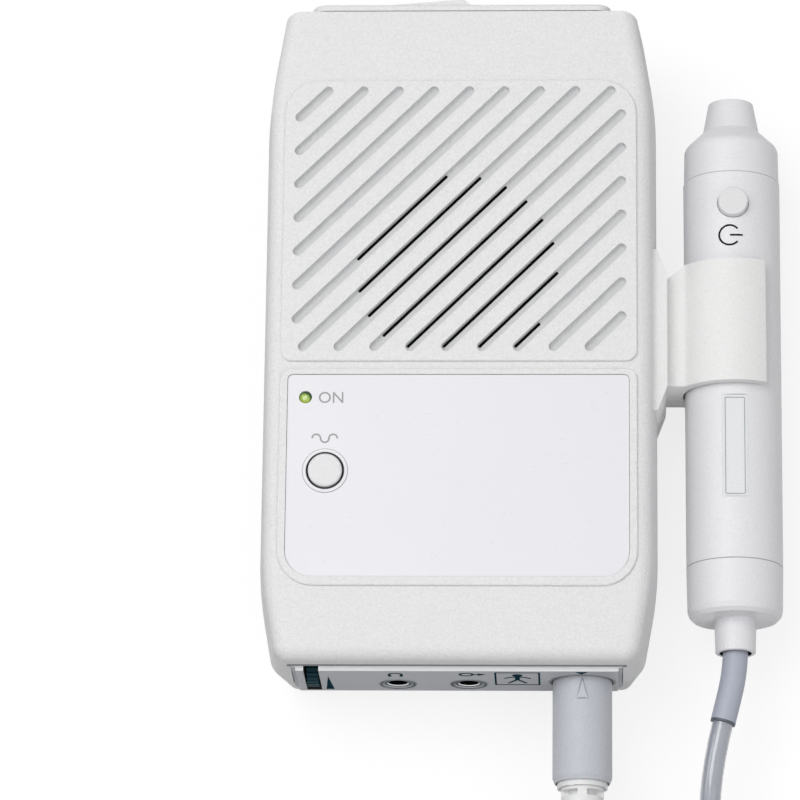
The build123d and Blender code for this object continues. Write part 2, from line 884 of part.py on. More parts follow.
with BuildPart() as main_board:
    box_between((-board_half, board_half), (board_bottom_y, board_high_y), (board_height, board_top))
    with BuildSketch(Plane.XY.offset(board_height)):
        with Locations(*case_screw_places):
            Circle(front_boss_diameter / 2 + board_room)
        with Locations(*board_screw_places):
            Circle(board_screw_diameter / 2)
    extrude(amount=board_thickness, mode=Mode.SUBTRACT)
    box_between((-case_width, wheel_right + board_room), (bottom_end, wheel_y + wheel_radius + board_room),
                (board_height, board_top), mode=Mode.SUBTRACT)
    box_between((socket_x - nut_radius - board_room, case_width), (bottom_end, contact_back + board_room),
                (board_height, board_top), mode=Mode.SUBTRACT)
main_board.part.label = "main_board"
export_step(main_board.part, "parts/main_board.step")

with BuildPart() as board_screws:
    with BuildSketch(Plane.XY.offset(board_height - screw_head_depth)):
        with Locations(*board_screw_places):
            Circle(board_screw_head / 2)
    extrude(amount=screw_head_depth)
    with BuildSketch(Plane.XY.offset(board_height)):
        with Locations(*board_screw_places):
            Circle(board_screw_diameter / 2)
    extrude(amount=board_thickness + board_screw_grip)
board_screws.part.label = "board_screws"
export_step(board_screws.part, "parts/board_screws.step")

# Metal can over the radio stage, under the board
with BuildPart() as shield_can:
    box_between((can_left, can_left + can_width), (can_low, can_low + can_length),
                (board_height - can_depth, board_height))
    box_between((can_left + can_wall, can_left + can_width - can_wall),
                (can_low + can_wall, can_low + can_length - can_wall),
                (board_height - can_depth + can_wall, board_height), mode=Mode.SUBTRACT)
shield_can.part.label = "shield_can"
export_step(shield_can.part, "parts/shield_can.step")

# Volume control: a potentiometer under the board, its spindle, and the ribbed wheel screwed to it
pot_left = wheel_right + pot_gap
pot_right = pot_left + pot_width
spindle_radius = spindle_diameter / 2
wheel_screw_radius = wheel_screw_diameter / 2
wheel_screw_end = wheel_right + wheel_screw_grip

with BuildPart() as volume_pot:
    box_between((pot_left, pot_right), (wheel_y - pot_low, wheel_y + pot_high),
                (wheel_height - pot_drop, board_height))
    with BuildSketch(Plane.YZ.offset(pot_left)):
        with Locations((wheel_y, wheel_height)):
            Circle(spindle_radius + running_gap)
    extrude(amount=pot_width, mode=Mode.SUBTRACT)
volume_pot.part.label = "volume_pot"
export_step(volume_pot.part, "parts/volume_pot.step")

with BuildPart() as wheel_spindle:
    revolve(turned_profile(wheel_plane, [
        (wheel_screw_radius, wheel_left),
        (spindle_radius, wheel_left),
        (spindle_radius, pot_right - pot_clearance),
        (0, pot_right - pot_clearance),
        (0, wheel_screw_end),
        (wheel_screw_radius, wheel_screw_end),
    ]), axis=wheel_axis)
wheel_spindle.part.label = "wheel_spindle"
export_step(wheel_spindle.part, "parts/wheel_spindle.step")

with BuildPart() as volume_wheel:
    with BuildSketch(Plane.YZ.offset(wheel_left)):
        with Locations((wheel_y, wheel_height)):
            Circle(wheel_radius)
            Circle(spindle_radius, mode=Mode.SUBTRACT)
            with PolarLocations(wheel_radius, wheel_ribs):
                Circle(wheel_rib_depth, mode=Mode.SUBTRACT)
    extrude(amount=wheel_thickness)
volume_wheel.part.label = "volume_wheel"
export_step(volume_wheel.part, "parts/volume_wheel.step")

with BuildPart() as wheel_screw:
    revolve(turned_profile(wheel_plane, [
        (0, wheel_left - wheel_screw_head_height),
        (wheel_screw_head / 2, wheel_left - wheel_screw_head_height),
        (wheel_screw_head / 2, wheel_left),
        (wheel_screw_radius, wheel_left),
        (wheel_screw_radius, wheel_screw_end),
        (0, wheel_screw_end),
    ]), axis=wheel_axis)
wheel_screw.part.label = "wheel_screw"
export_step(wheel_screw.part, "parts/wheel_screw.step")

# Connector panel, held by its flange behind the case walls
with BuildPart() as end_panel:
    box_between((panel_step_width - panel_half_width, panel_half_width - panel_step_width),
                (panel_face, panel_back), (panel_low, panel_high))
    fillet(end_panel.faces().sort_by(Axis.Y)[0].edges(), panel_face_round)
    box_between((-panel_half_width, panel_half_width), (panel_face + panel_step_depth, panel_back),
                (panel_low, panel_high))
    box_between((panel_flange_inset - panel_half_width, panel_half_width - panel_flange_inset),
                (panel_back, flange_back), (panel_low - panel_flange_reach, panel_high + panel_flange_reach))
    add(wheel_room.part, mode=Mode.SUBTRACT)
    box_between((wheel_x - wheel_slot_width / 2, wheel_x + wheel_slot_width / 2),
                (panel_face, panel_back), (panel_low + panel_step_depth, panel_high), mode=Mode.SUBTRACT)
    box_between((wheel_x, pot_right + moving_gap), (wheel_y - pot_low - moving_gap, flange_back),
                (wheel_height - pot_drop - moving_gap, board_height + moving_gap), mode=Mode.SUBTRACT)
    with BuildSketch(Plane.XZ.offset(-flange_back)):
        with Locations((phones_x, jack_height), (record_x, jack_height)):
            Circle(jack_bush_diameter / 2 + seat_gap)
        with Locations((socket_x, socket_height)):
            Circle(socket_radius + seat_gap)
    extrude(amount=2 * panel_thickness, mode=Mode.SUBTRACT)
end_panel.part.label = "end_panel"
export_step(end_panel.part, "parts/end_panel.step")

# Jacks: a bush that shows as a ring on the panel, and the body behind it, on one bore
for name, jack_x in (("phones_jack", phones_x), ("record_jack", record_x)):
    jack_plane, jack_axis = lengthwise(jack_x, jack_height)
    with BuildPart() as jack_bush:
        revolve(turned_profile(jack_plane, [
            (jack_bore / 2, panel_face - jack_ring_proud + jack_dish),
            (jack_ring / 2 - jack_rim_width, panel_face - jack_ring_proud),
            (jack_ring / 2, panel_face - jack_ring_proud),
            (jack_ring / 2, panel_face),
            (jack_bush_diameter / 2, panel_face),
            (jack_bush_diameter / 2, flange_back),
            (jack_bore / 2, flange_back),
        ]), axis=jack_axis)
    jack_bush.part.label = name + "_bush"
    export_step(jack_bush.part, "parts/" + name + "_bush.step")
    with BuildPart() as jack_body:
        box_between((jack_x - jack_width / 2, jack_x + jack_width / 2),
                    (flange_back, flange_back + jack_length), (jack_height - jack_width / 2, board_height))
        with BuildSketch(Plane.XZ.offset(-flange_back)):
            with Locations((jack_x, jack_height)):
                Circle(jack_bore / 2)
        extrude(amount=-jack_length, mode=Mode.SUBTRACT)
    jack_body.part.label = name
    export_step(jack_body.part, "parts/" + name + ".step")

# Socket of the probe connector, its nut, insert and contacts
socket_plane, socket_axis = lengthwise(socket_x, socket_height)


def pin_circles(start, diameter):
    """Circles of the pins or holes round the socket's axis, at one place along Y."""
    with BuildSketch(Plane.XZ.offset(-start)) as circles:
        with Locations((socket_x, socket_height)):
            with PolarLocations(contact_circle / 2, contact_count):
                Circle(diameter / 2)
    return circles.sketch


with BuildPart() as probe_socket:
    revolve(turned_profile(socket_plane, [
        (socket_inside, socket_front),
        (socket_radius, socket_front),
        (socket_radius, socket_back),
        (socket_inside, socket_back),
    ]), axis=socket_axis)
probe_socket.part.label = "probe_socket"
export_step(probe_socket.part, "parts/probe_socket.step")

with BuildPart() as socket_nut:
    with BuildSketch(Plane.XZ.offset(-flange_back)):
        with Locations((socket_x, socket_height)):
            RegularPolygon(nut_radius, 6)
            Circle(socket_radius, mode=Mode.SUBTRACT)
    extrude(amount=-nut_thickness)
socket_nut.part.label = "socket_nut"
export_step(socket_nut.part, "parts/socket_nut.step")

with BuildPart() as socket_insert:
    with BuildSketch(Plane.XZ.offset(-insert_front)):
        with Locations((socket_x, socket_height)):
            Circle(socket_inside)
    extrude(amount=-insert_length)
    extrude(pin_circles(insert_front, contact_diameter), amount=-insert_length, mode=Mode.SUBTRACT)
socket_insert.part.label = "socket_insert"
export_step(socket_insert.part, "parts/socket_insert.step")

with BuildPart() as socket_contacts:
    extrude(pin_circles(insert_front + contact_depth, contact_diameter),
            amount=insert_front + contact_depth - contact_back)
socket_contacts.part.label = "socket_contacts"
export_step(socket_contacts.part, "parts/socket_contacts.step")

# Battery, its snap connector and the sliding cover
battery_left = battery_x - battery_body / 2
battery_right = battery_x + battery_body / 2
battery_middle = ((battery_low + battery_high) / 2, (battery_bottom + battery_top) / 2)
terminal_places = [
    (battery_middle[0] + offset, battery_middle[1]) for offset in (-terminal_spacing / 2, terminal_spacing / 2)
]

with BuildPart() as battery:
    box_between((battery_left, battery_right), (battery_low, battery_high), (battery_bottom, battery_top))
    fillet(battery.edges().filter_by(Axis.X), battery_corner)
    with BuildSketch(Plane.YZ.offset(battery_right)):
        with Locations(*terminal_places):
            Circle(terminal_diameter / 2)
    extrude(amount=terminal_length)
battery.part.label = "battery"
export_step(battery.part, "parts/battery.step")

with BuildPart() as battery_snap:
    box_between((battery_right + terminal_length, battery_right + terminal_length + snap_thickness),
                (battery_low + snap_margin, battery_high - snap_margin),
                (battery_middle[1] - snap_height / 2, battery_middle[1] + snap_height / 2))
    fillet(battery_snap.edges().filter_by(Axis.X), snap_corner)
battery_snap.part.label = "battery_snap"
export_step(battery_snap.part, "parts/battery_snap.step")

cover_end_inner = top_end + moving_gap
cover_end_top = case_depth - cover_end_drop
cover_end_outer = cover_end_inner + cover_end_thickness

with BuildPart() as battery_cover:
    box_between((-cover_half, cover_half), (cover_start, cover_end_outer),
                (cover_plate_bottom, cover_flange_bottom))
    box_between((-cover_flange_half, cover_flange_half), (cover_start + fence_gap, top_end - wall - fence_gap),
                (cover_flange_bottom, cover_flange_top))
    with BuildSketch(Plane.XZ.offset(-cover_end_inner)):
        with Locations((0, (cover_plate_bottom + cover_end_top) / 2)):
            RectangleRounded(cover_end_width, cover_end_top - cover_plate_bottom, cover_end_corner)
    extrude(amount=-cover_end_thickness)
    fillet(battery_cover.faces().sort_by(Axis.Y)[-1].edges().sort_by(Axis.Z)[1:], cover_edge_round)
    with BuildSketch(Plane.XY.offset(cover_end_top - thumb_depth)):
        with BuildLine():
            FilletPolyline(
                (thumb_start, cover_end_outer),
                (thumb_peak_start, cover_end_outer + thumb_rise),
                (thumb_peak_end, cover_end_outer + thumb_rise),
                (thumb_end, cover_end_outer),
                radius=cover_edge_round,
            )
            Polyline((thumb_end, cover_end_outer), (thumb_end, cover_end_outer - thumb_drop),
                     (thumb_start, cover_end_outer - thumb_drop), (thumb_start, cover_end_outer))
        make_face()
    extrude(amount=thumb_depth - thumb_drop)
battery_cover.part.label = "battery_cover"
export_step(battery_cover.part, "parts/battery_cover.step")

# Holder on the right wall: a pad and an open clip for the probe
clip_inside = barrel_radius + moving_gap
clip_outside = clip_inside + holder_wall
opening_half = math.radians(holder_opening / 2)
opening_reach = 2 * clip_outside
opening_x = probe_x + opening_reach * math.cos(opening_half)
opening_rise = opening_reach * math.sin(opening_half)
opening_outline = [
    (probe_x, probe_height),
    (opening_x, probe_height + opening_rise),
    (probe_x + opening_reach, probe_height + opening_rise),
    (probe_x + opening_reach, probe_height - opening_rise),
    (opening_x, probe_height - opening_rise),
]
pad_y_low = holder_low - pad_reach_low
pad_y_high = holder_high + pad_reach_high

with BuildPart() as probe_holder:
    with BuildSketch(Plane.XZ.offset(-holder_low)) as clip:
        with Locations((probe_x, probe_height)):
            Circle(clip_outside)
        with Locations(((half_width + probe_x) / 2, probe_height)):
            Rectangle(probe_x - half_width, clip_neck)
        with Locations((probe_x, probe_height)):
            Circle(clip_inside, mode=Mode.SUBTRACT)
        with BuildLine():
            Polyline(*opening_outline, close=True)
        make_face(mode=Mode.SUBTRACT)
        fillet(clip.vertices().filter_by_position(Axis.X, probe_x + 1, probe_x + opening_reach), clip_tip_round)
        fillet(clip.vertices().filter_by_position(Axis.X, half_width + 1, probe_x - 1), clip_root_round)
    extrude(amount=holder_low - holder_high)
    # the arm slopes from the pad up to its full width
    with BuildSketch(Plane.XY):
        with BuildLine():
            Polyline(
                (half_width, pad_y_high),
                (half_width + pad_thickness, pad_y_high - pad_ramp),
                (arm_shoulder_x, holder_high),
                (arm_shoulder_x, pad_y_high + pad_ramp),
                (half_width, pad_y_high + pad_ramp),
                close=True,
            )
        make_face()
    extrude(amount=2 * probe_height, mode=Mode.SUBTRACT)
    with BuildSketch(Plane.XY.offset(pad_low)):
        with BuildLine():
            FilletPolyline(
                (half_width - wall, pad_y_low),
                (half_width, pad_y_low),
                (half_width + pad_thickness, pad_y_low + pad_ramp),
                (half_width + pad_thickness, pad_y_high - pad_ramp),
                (half_width, pad_y_high),
                (half_width - wall, pad_y_high),
                radius=[0, pad_corner, pad_corner, 0],
            )
            Line((half_width - wall, pad_y_high), (half_width - wall, pad_y_low))
        make_face()
    extrude(amount=pad_high - pad_low)
    add(front_form.part, mode=Mode.SUBTRACT)
    add(back_form.part, mode=Mode.SUBTRACT)
    with BuildSketch(Plane.YZ.offset(half_width - wall)):
        with Locations(*holder_screw_places):
            Circle(holder_screw_diameter / 2)
    extrude(amount=holder_screw_end - half_width + wall, mode=Mode.SUBTRACT)
probe_holder.part.label = "probe_holder"
export_step(probe_holder.part, "parts/probe_holder.step")

with BuildPart() as holder_screws:
    with BuildSketch(Plane.YZ.offset(seat_x - screw_head_depth)):
        with Locations(*holder_screw_places):
            Circle(holder_screw_diameter)
    extrude(amount=screw_head_depth)
    with BuildSketch(Plane.YZ.offset(seat_x)):
        with Locations(*holder_screw_places):
            Circle(holder_screw_diameter / 2)
    extrude(amount=holder_screw_end - seat_x)
holder_screws.part.label = "holder_screws"
export_step(holder_screws.part, "parts/holder_screws.step")

# Probe: turned pieces on one axis along Y
probe_plane, probe_axis = lengthwise(probe_x, probe_height)
barrel_inside = barrel_radius - barrel_wall
spigot_radius = barrel_inside - seat_gap
spigot_inside = spigot_radius - spigot_wall
tip_end = barrel_top + nose_length
tip_bore = tip_radius - tip_wall
lens_radius = tip_radius - lens_rim
lens_back = tip_end - lens_thickness
crystal_back = lens_back - crystal_thickness
waist = barrel_top + nose_waist

with BuildPart() as probe_nose:
    with BuildSketch(probe_plane) as nose_profile:
        with BuildLine():
            Polyline(
                (barrel_radius - seam_chamfer, barrel_top),
                (nose_shoulder_radius, barrel_top + nose_shoulder),
                (nose_waist_radius, waist),
                (tip_radius, tip_end),
                (lens_radius, tip_end),
                (lens_radius, lens_back),
                (tip_bore, lens_back),
                (tip_bore, waist - tip_bore_start),
                (spigot_inside, barrel_top + nose_shoulder - nose_inside_drop),
                (spigot_inside, barrel_top - spigot_length),
                (spigot_radius, barrel_top - spigot_length),
                (spigot_radius, barrel_top),
                close=True,
            )
        make_face()
        fillet(nose_profile.vertices().sort_by_distance((nose_shoulder_radius, barrel_top + nose_shoulder))[0],
               nose_shoulder_round)
    revolve(axis=probe_axis)
probe_nose.part.label = "probe_nose"
export_step(probe_nose.part, "parts/probe_nose.step")

with BuildPart() as probe_lens:
    with BuildSketch(Plane.XZ.offset(-lens_back)):
        with Locations((probe_x, probe_height)):
            Circle(lens_radius)
    extrude(amount=-lens_thickness - lens_crown)
    fillet(probe_lens.edges().group_by(Axis.Y)[-1], lens_round)
probe_lens.part.label = "probe_lens"
export_step(probe_lens.part, "parts/probe_lens.step")

with BuildPart() as crystal_pair:
    with BuildSketch(Plane.XZ.offset(-crystal_back)):
        with Locations((probe_x, probe_height)):
            Circle(tip_bore)
            Rectangle(2 * tip_bore, crystal_gap, mode=Mode.SUBTRACT)
    extrude(amount=-crystal_thickness)
crystal_pair.part.label = "crystal_pair"
export_step(crystal_pair.part, "parts/crystal_pair.step")

with BuildPart() as crystal_backing:
    with BuildSketch(Plane.XZ.offset(-crystal_back)):
        with Locations((probe_x, probe_height)):
            Circle(tip_bore)
    extrude(amount=backing_length)
crystal_backing.part.label = "crystal_backing"
export_step(crystal_backing.part, "parts/crystal_backing.step")

# Button on the probe, kept in by its flange under the barrel's wall
flange_radius = probe_button_flange / 2
flange_room = math.sqrt(barrel_inside**2 - flange_radius**2)
probe_flange_top = probe_height + flange_room - moving_gap
probe_button_bottom = probe_flange_top - button_flange
probe_button_high = probe_height + barrel_radius + probe_button_proud
button_plane, button_axis = upright(probe_x, probe_button_y)
label_floor = probe_height + barrel_radius - probe_label_depth

with BuildPart() as probe_barrel:
    revolve(turned_profile(probe_plane, [
        (barrel_inside, barrel_bottom),
        (barrel_low_radius - seam_chamfer, barrel_bottom),
        (barrel_low_radius, barrel_bottom + seam_chamfer),
        (barrel_radius, barrel_top - seam_chamfer),
        (barrel_radius - seam_chamfer, barrel_top),
        (barrel_inside, barrel_top),
    ]), axis=probe_axis)
    with BuildSketch(Plane.XY.offset(probe_height)):
        with Locations((probe_x, probe_button_y)):
            Circle(probe_button_base / 2 + running_gap)
    extrude(amount=2 * barrel_radius, mode=Mode.SUBTRACT)
    box_between((probe_x - probe_label_width / 2, probe_x + probe_label_width / 2),
                (probe_label_y - probe_label_length / 2, probe_label_y + probe_label_length / 2),
                (label_floor, probe_height + 2 * barrel_radius), mode=Mode.SUBTRACT)
probe_barrel.part.label = "probe_barrel"
export_step(probe_barrel.part, "parts/probe_barrel.step")

with BuildPart() as probe_label:
    with BuildSketch(Plane.XY.offset(label_floor)):
        with Locations((probe_x, probe_label_y)):
            RectangleRounded(probe_label_width - 2 * probe_label_gap,
                             probe_label_length - 2 * probe_label_gap, probe_label_corner)
    extrude(amount=probe_label_thickness)
probe_label.part.label = "probe_label"
export_step(probe_label.part, "parts/probe_label.step")

with BuildPart() as probe_button:
    revolve(turned_profile(button_plane, [
        (0, probe_button_bottom),
        (flange_radius, probe_button_bottom),
        (flange_radius, probe_flange_top),
        (probe_button_base / 2, probe_flange_top),
        (probe_button_base / 2, probe_button_high - probe_button_proud + button_edge_round),
        (probe_button_top / 2, probe_button_high),
        (0, probe_button_high),
    ]), axis=button_axis)
    fillet(probe_button.edges().group_by(Axis.Z)[-1], button_edge_round)
probe_button.part.label = "probe_button"
export_step(probe_button.part, "parts/probe_button.step")

# Board inside the barrel, carried by the barrel's walls, with the switch under the button
cap_end = barrel_bottom - cap_length
probe_board_top = probe_height - probe_board_drop + board_thickness
probe_board_low = barrel_bottom + spigot_length + moving_gap
probe_board_high = barrel_top - spigot_length - moving_gap
probe_plunger_top = probe_button_bottom - probe_button_travel - running_gap
probe_switch_body = (probe_plunger_top - probe_board_top) * probe_switch_share

with BuildPart() as probe_board:
    box_between((probe_x - probe_board_width / 2, probe_x + probe_board_width / 2),
                (probe_board_low, probe_board_high), (probe_board_top - board_thickness, probe_board_top))
probe_board.part.label = "probe_board"
export_step(probe_board.part, "parts/probe_board.step")

with BuildPart() as probe_switch:
    box_between((probe_x - switch_width / 2, probe_x + switch_width / 2),
                (probe_button_y - switch_width / 2, probe_button_y + switch_width / 2),
                (probe_board_top, probe_board_top + probe_switch_body))
    with BuildSketch(Plane.XY.offset(probe_board_top)):
        with Locations((probe_x, probe_button_y)):
            Circle(plunger_diameter / 2)
    extrude(amount=probe_plunger_top - probe_board_top)
probe_switch.part.label = "probe_switch"
export_step(probe_switch.part, "parts/probe_switch.step")

# End cap with its neck, and the sleeve that carries the cord out of it
cap_inside = cap_end + cap_floor
neck_end = cap_end - neck_length

with BuildPart() as probe_end_cap:
    revolve(turned_profile(probe_plane, [
        (barrel_low_radius - seam_chamfer, barrel_bottom),
        (barrel_low_radius, barrel_bottom - seam_chamfer),
        (cap_rim_radius + cap_flare, cap_end + cap_flare_length),
        (cap_rim_radius, cap_end + cap_rim_round),
        (cap_rim_radius - cap_rim_round, cap_end),
        (neck_radius, cap_end),
        (neck_radius - seam_chamfer, neck_end + seam_chamfer),
        (neck_radius - 2 * seam_chamfer, neck_end),
        (neck_bore, neck_end),
        (neck_bore, cap_inside),
        (spigot_inside, cap_inside),
        (spigot_inside, barrel_bottom + spigot_length),
        (spigot_radius, barrel_bottom + spigot_length),
        (spigot_radius, barrel_bottom),
    ]), axis=probe_axis)
probe_end_cap.part.label = "probe_end_cap"
export_step(probe_end_cap.part, "parts/probe_end_cap.step")


def corner_radii(points):
    """Radius at each inner point of a route: as large as its two runs allow."""
    radii = []
    for before, here, after in zip(points, points[1:], points[2:]):
        run_in = Vector(here) - Vector(before)
        run_out = Vector(after) - Vector(here)
        turn = math.radians(run_in.get_angle(run_out))
        radii.append(route_bend_share * min(run_in.length, run_out.length) / math.tan(turn / 2))
    return radii


def round_section(points, diameter):
    """Circle across the start of a route."""
    with BuildSketch(Plane(origin=points[0], z_dir=Vector(points[1]) - Vector(points[0]))) as section:
        Circle(diameter / 2)
    return section.sketch


def report_tube(name, tube, route, radii, diameter):
    """Prints the radii of a tube's route and its volume against section times length."""
    expected = math.pi * diameter**2 / 4 * route.length
    print(name, "radii", [round(radius, 1) for radius in radii])
    print(name, "length", round(route.length, 1), "volume over expected", round(tube.volume / expected, 4))


sleeve_points = [
    (probe_x, cap_inside, probe_height),
    (probe_x, -61.5, probe_height),
    (50.2, -71.8, 16.2),
]
sleeve_radii = corner_radii(sleeve_points)

with BuildPart() as cord_sleeve:
    with BuildLine() as sleeve_route:
        FilletPolyline(*sleeve_points, radius=sleeve_radii)
    sweep(round_section(sleeve_points, cord_sleeve_diameter), path=sleeve_route.wire())
    report_tube("cord_sleeve", cord_sleeve.part, sleeve_route.wire(), sleeve_radii, cord_sleeve_diameter)
    with BuildSketch(Plane.XZ.offset(-cap_inside)):
        with Locations((probe_x, probe_height)):
            Circle(sleeve_flange_diameter / 2)
    extrude(amount=-sleeve_flange)
cord_sleeve.part.label = "cord_sleeve"
export_step(cord_sleeve.part, "parts/cord_sleeve.step")

with BuildPart() as cord_clamp:
    box_between((probe_x - clamp_width / 2, probe_x + clamp_width / 2),
                (cap_inside + sleeve_flange, cap_inside + sleeve_flange + clamp_length),
                (probe_height - clamp_height / 2, probe_height + clamp_height / 2))
    fillet(cord_clamp.edges().filter_by(Axis.Y), 1)
cord_clamp.part.label = "cord_clamp"
export_step(cord_clamp.part, "parts/cord_clamp.step")

# Plug in the socket: latch sleeve outside, core with its pins, collet and bend relief
latch_front = socket_front + latch_depth
latch_back = latch_front - latch_length
latch_radius = latch_diameter / 2
core_radius = plug_core_diameter / 2
tail_radius = plug_tail_diameter / 2
collet_radius = collet_diameter / 2
collet_front = latch_back + collet_cover
collet_back = collet_front - collet_length
relief_start = collet_back + collet_recess
arrow_tip = panel_face - arrow_start

with BuildPart() as plug_sleeve:
    revolve(turned_profile(socket_plane, [
        (latch_inside / 2, latch_front),
        (latch_radius - latch_lip, latch_front),
        (latch_radius, latch_front - latch_lip),
        (latch_radius, latch_back + latch_chamfer),
        (latch_radius - latch_tail_step, latch_back),
        (collet_radius + moving_gap, latch_back),
        (collet_radius + moving_gap, collet_front + latch_travel + moving_gap),
        (latch_inside / 2, collet_front + latch_travel + moving_gap),
    ]), axis=socket_axis)
    with BuildSketch(Plane.XY.offset(socket_height + latch_radius - 2 * arrow_rise)):
        with BuildLine():
            Polyline((socket_x, arrow_tip), (socket_x + arrow_width / 2, arrow_tip - arrow_length),
                     (socket_x - arrow_width / 2, arrow_tip - arrow_length), close=True)
        make_face()
    extrude(amount=3 * arrow_rise)
plug_sleeve.part.label = "plug_sleeve"
export_step(plug_sleeve.part, "parts/plug_sleeve.step")

with BuildPart() as plug_core:
    revolve(turned_profile(socket_plane, [
        (0, nose_end),
        (core_radius - core_tip_chamfer, nose_end),
        (core_radius, nose_end - core_tip_chamfer),
        (core_radius, collet_front),
        (tail_radius, collet_front),
        (tail_radius, relief_start),
        (0, relief_start),
    ]), axis=socket_axis)
plug_core.part.label = "plug_core"
export_step(plug_core.part, "parts/plug_core.step")

with BuildPart() as plug_pins:
    extrude(pin_circles(nose_end, pin_diameter), amount=-pin_length)
plug_pins.part.label = "plug_pins"
export_step(plug_pins.part, "parts/plug_pins.step")

with BuildPart() as collet_nut:
    revolve(turned_profile(socket_plane, [
        (tail_radius, collet_front),
        (collet_radius, collet_front),
        (collet_radius, collet_back),
        (collet_radius - collet_wall, collet_back),
        (collet_radius - collet_wall, relief_start),
        (tail_radius, relief_start),
    ]), axis=socket_axis)
collet_nut.part.label = "collet_nut"
export_step(collet_nut.part, "parts/collet_nut.step")

relief_end = relief_start - relief_length
relief_core = relief_core_diameter / 2
bore_end = relief_end + relief_bore


def relief_radius(y):
    """Outer radius of the bend relief's rings, which taper towards the cord."""
    share = (relief_start - y) / relief_length
    return (relief_start_diameter + (relief_end_diameter - relief_start_diameter) * share) / 2


relief_profile = [(0, relief_start)]
for ring in range(relief_rings):
    ring_start = relief_start - ring * (relief_ring + relief_gap)
    ring_stop = ring_start - relief_ring
    relief_profile += [(relief_radius(ring_start), ring_start), (relief_radius(ring_stop), ring_stop)]
    relief_profile += [(relief_core, ring_stop), (relief_core, ring_stop - relief_gap)]
relief_profile[-1] = (relief_core, relief_end)
relief_profile += [
    (cord_diameter / 2 + seat_gap, relief_end),
    (cord_diameter / 2 + seat_gap, bore_end),
    (0, bore_end),
]

with BuildPart() as relief_bars:
    revolve(turned_profile(socket_plane, [
        (0, relief_start),
        (relief_radius(relief_start), relief_start),
        (relief_radius(relief_end), relief_end),
        (relief_core, relief_end),
        (relief_core, bore_end),
        (0, bore_end),
    ]), axis=socket_axis)
    with BuildSketch(Plane.XZ.offset(-relief_end)):
        with Locations((socket_x, socket_height)):
            Rectangle(relief_start_diameter, relief_bar)
            Rectangle(relief_bar, relief_start_diameter)
    extrude(amount=-relief_length, mode=Mode.INTERSECT)

with BuildPart() as bend_relief:
    revolve(turned_profile(socket_plane, relief_profile), axis=socket_axis)
    add(relief_bars.part)
    with BuildSketch(Plane.XZ.offset(-relief_end)):
        with Locations((socket_x, socket_height)):
            Circle(cord_diameter / 2 + seat_gap)
    extrude(amount=-relief_bore, mode=Mode.SUBTRACT)
bend_relief.part.label = "bend_relief"
export_step(bend_relief.part, "parts/bend_relief.step")

# Cord: a coil on the floor, and the free runs from the probe and from the plug
coil_lead = cord_diameter
layer_radii = [coil_inside_radius + coil_spacing * (coil_half_turns - turn) / 2 for turn in range(coil_half_turns)]
coil_radii = []
for layer in range(coil_layers):
    coil_radii += layer_radii if layer % 2 == 0 else layer_radii[::-1]
    if layer < coil_layers - 1:
        coil_radii += [coil_inside_radius if layer % 2 == 0 else layer_radii[0] + coil_spacing / 2]
climbing_turns = [(coil_half_turns + 1) * layer - 1 for layer in range(1, coil_layers)]

with BuildPart() as cord_coil:
    with BuildLine() as coil_route:
        heading = Vector(0, -1, 0)
        place = Vector(coil_x + layer_radii[0], coil_y, cord_diameter / 2 + floor_gap)
        coil_start = place - heading * coil_lead
        Line(coil_start, place)
        for turn, radius in enumerate(coil_radii):
            climb = coil_spacing if turn in climbing_turns else 0
            inward = heading.cross(Vector(0, 0, 1))
            reach = math.sqrt(radius**2 + climb**2 / 4)
            middle = place + inward * radius + heading * reach + Vector(0, 0, climb / 2)
            far = place + inward * 2 * radius + Vector(0, 0, climb)
            first_arc = TangentArc(place, middle, tangent=heading)
            TangentArc(middle, far, tangent=first_arc % 1)
            heading = -heading
            place = far
        coil_end = place + heading * coil_lead
        Line(place, coil_end)
    sweep(round_section([coil_start, coil_start - Vector(0, coil_lead, 0)], cord_diameter), path=coil_route.wire())
coil_samples = 24 * len(coil_radii)
coil_places = [coil_route.wire() @ (sample / coil_samples) for sample in range(coil_samples + 1)]
apart = math.ceil(4 * cord_diameter / coil_route.wire().length * coil_samples)
coil_gap = min(
    (here - there).length - cord_diameter
    for number, here in enumerate(coil_places)
    for there in coil_places[number + apart:]
)
report_tube("cord_coil", cord_coil.part, coil_route.wire(), coil_radii, cord_diameter)
print("cord_coil least gap", round(coil_gap, 3), "end", coil_end)
cord_coil.part.label = "cord_coil"
export_step(cord_coil.part, "parts/cord_coil.step")

probe_run_points = [
    (50.2, -71.8, 16.2),
    (47.9, -81.07, 15.93),
    (47.6, -94, 12.8),
    (51.5, -108.5, 7.4),
    (58.8, -122.7, 3.4),
    (67.9, -137.5, 2.02),
    (67.9, -151, 2.02),
]
plug_run_points = [
    (socket_x, bore_end, socket_height),
    (socket_x, -113, socket_height),
    (22.6, -126, 17),
    (20.55, -139, 15.37),
    (20.55, -151, 15.37),
]
probe_run_radii = corner_radii(probe_run_points)
plug_run_radii = corner_radii(plug_run_points)

with BuildPart() as cord_probe_run:
    with BuildLine() as probe_run_route:
        FilletPolyline(*probe_run_points, radius=probe_run_radii)
    sweep(round_section(probe_run_points, cord_diameter), path=probe_run_route.wire())
report_tube("cord_probe_run", cord_probe_run.part, probe_run_route.wire(), probe_run_radii, cord_diameter)
cord_probe_run.part.label = "cord_probe_run"
export_step(cord_probe_run.part, "parts/cord_probe_run.step")

with BuildPart() as cord_plug_run:
    with BuildLine() as plug_run_route:
        FilletPolyline(*plug_run_points, radius=plug_run_radii)
    sweep(round_section(plug_run_points, cord_diameter), path=plug_run_route.wire())
report_tube("cord_plug_run", cord_plug_run.part, plug_run_route.wire(), plug_run_radii, cord_diameter)
cord_plug_run.part.label = "cord_plug_run"
export_step(cord_plug_run.part, "parts/cord_plug_run.step")
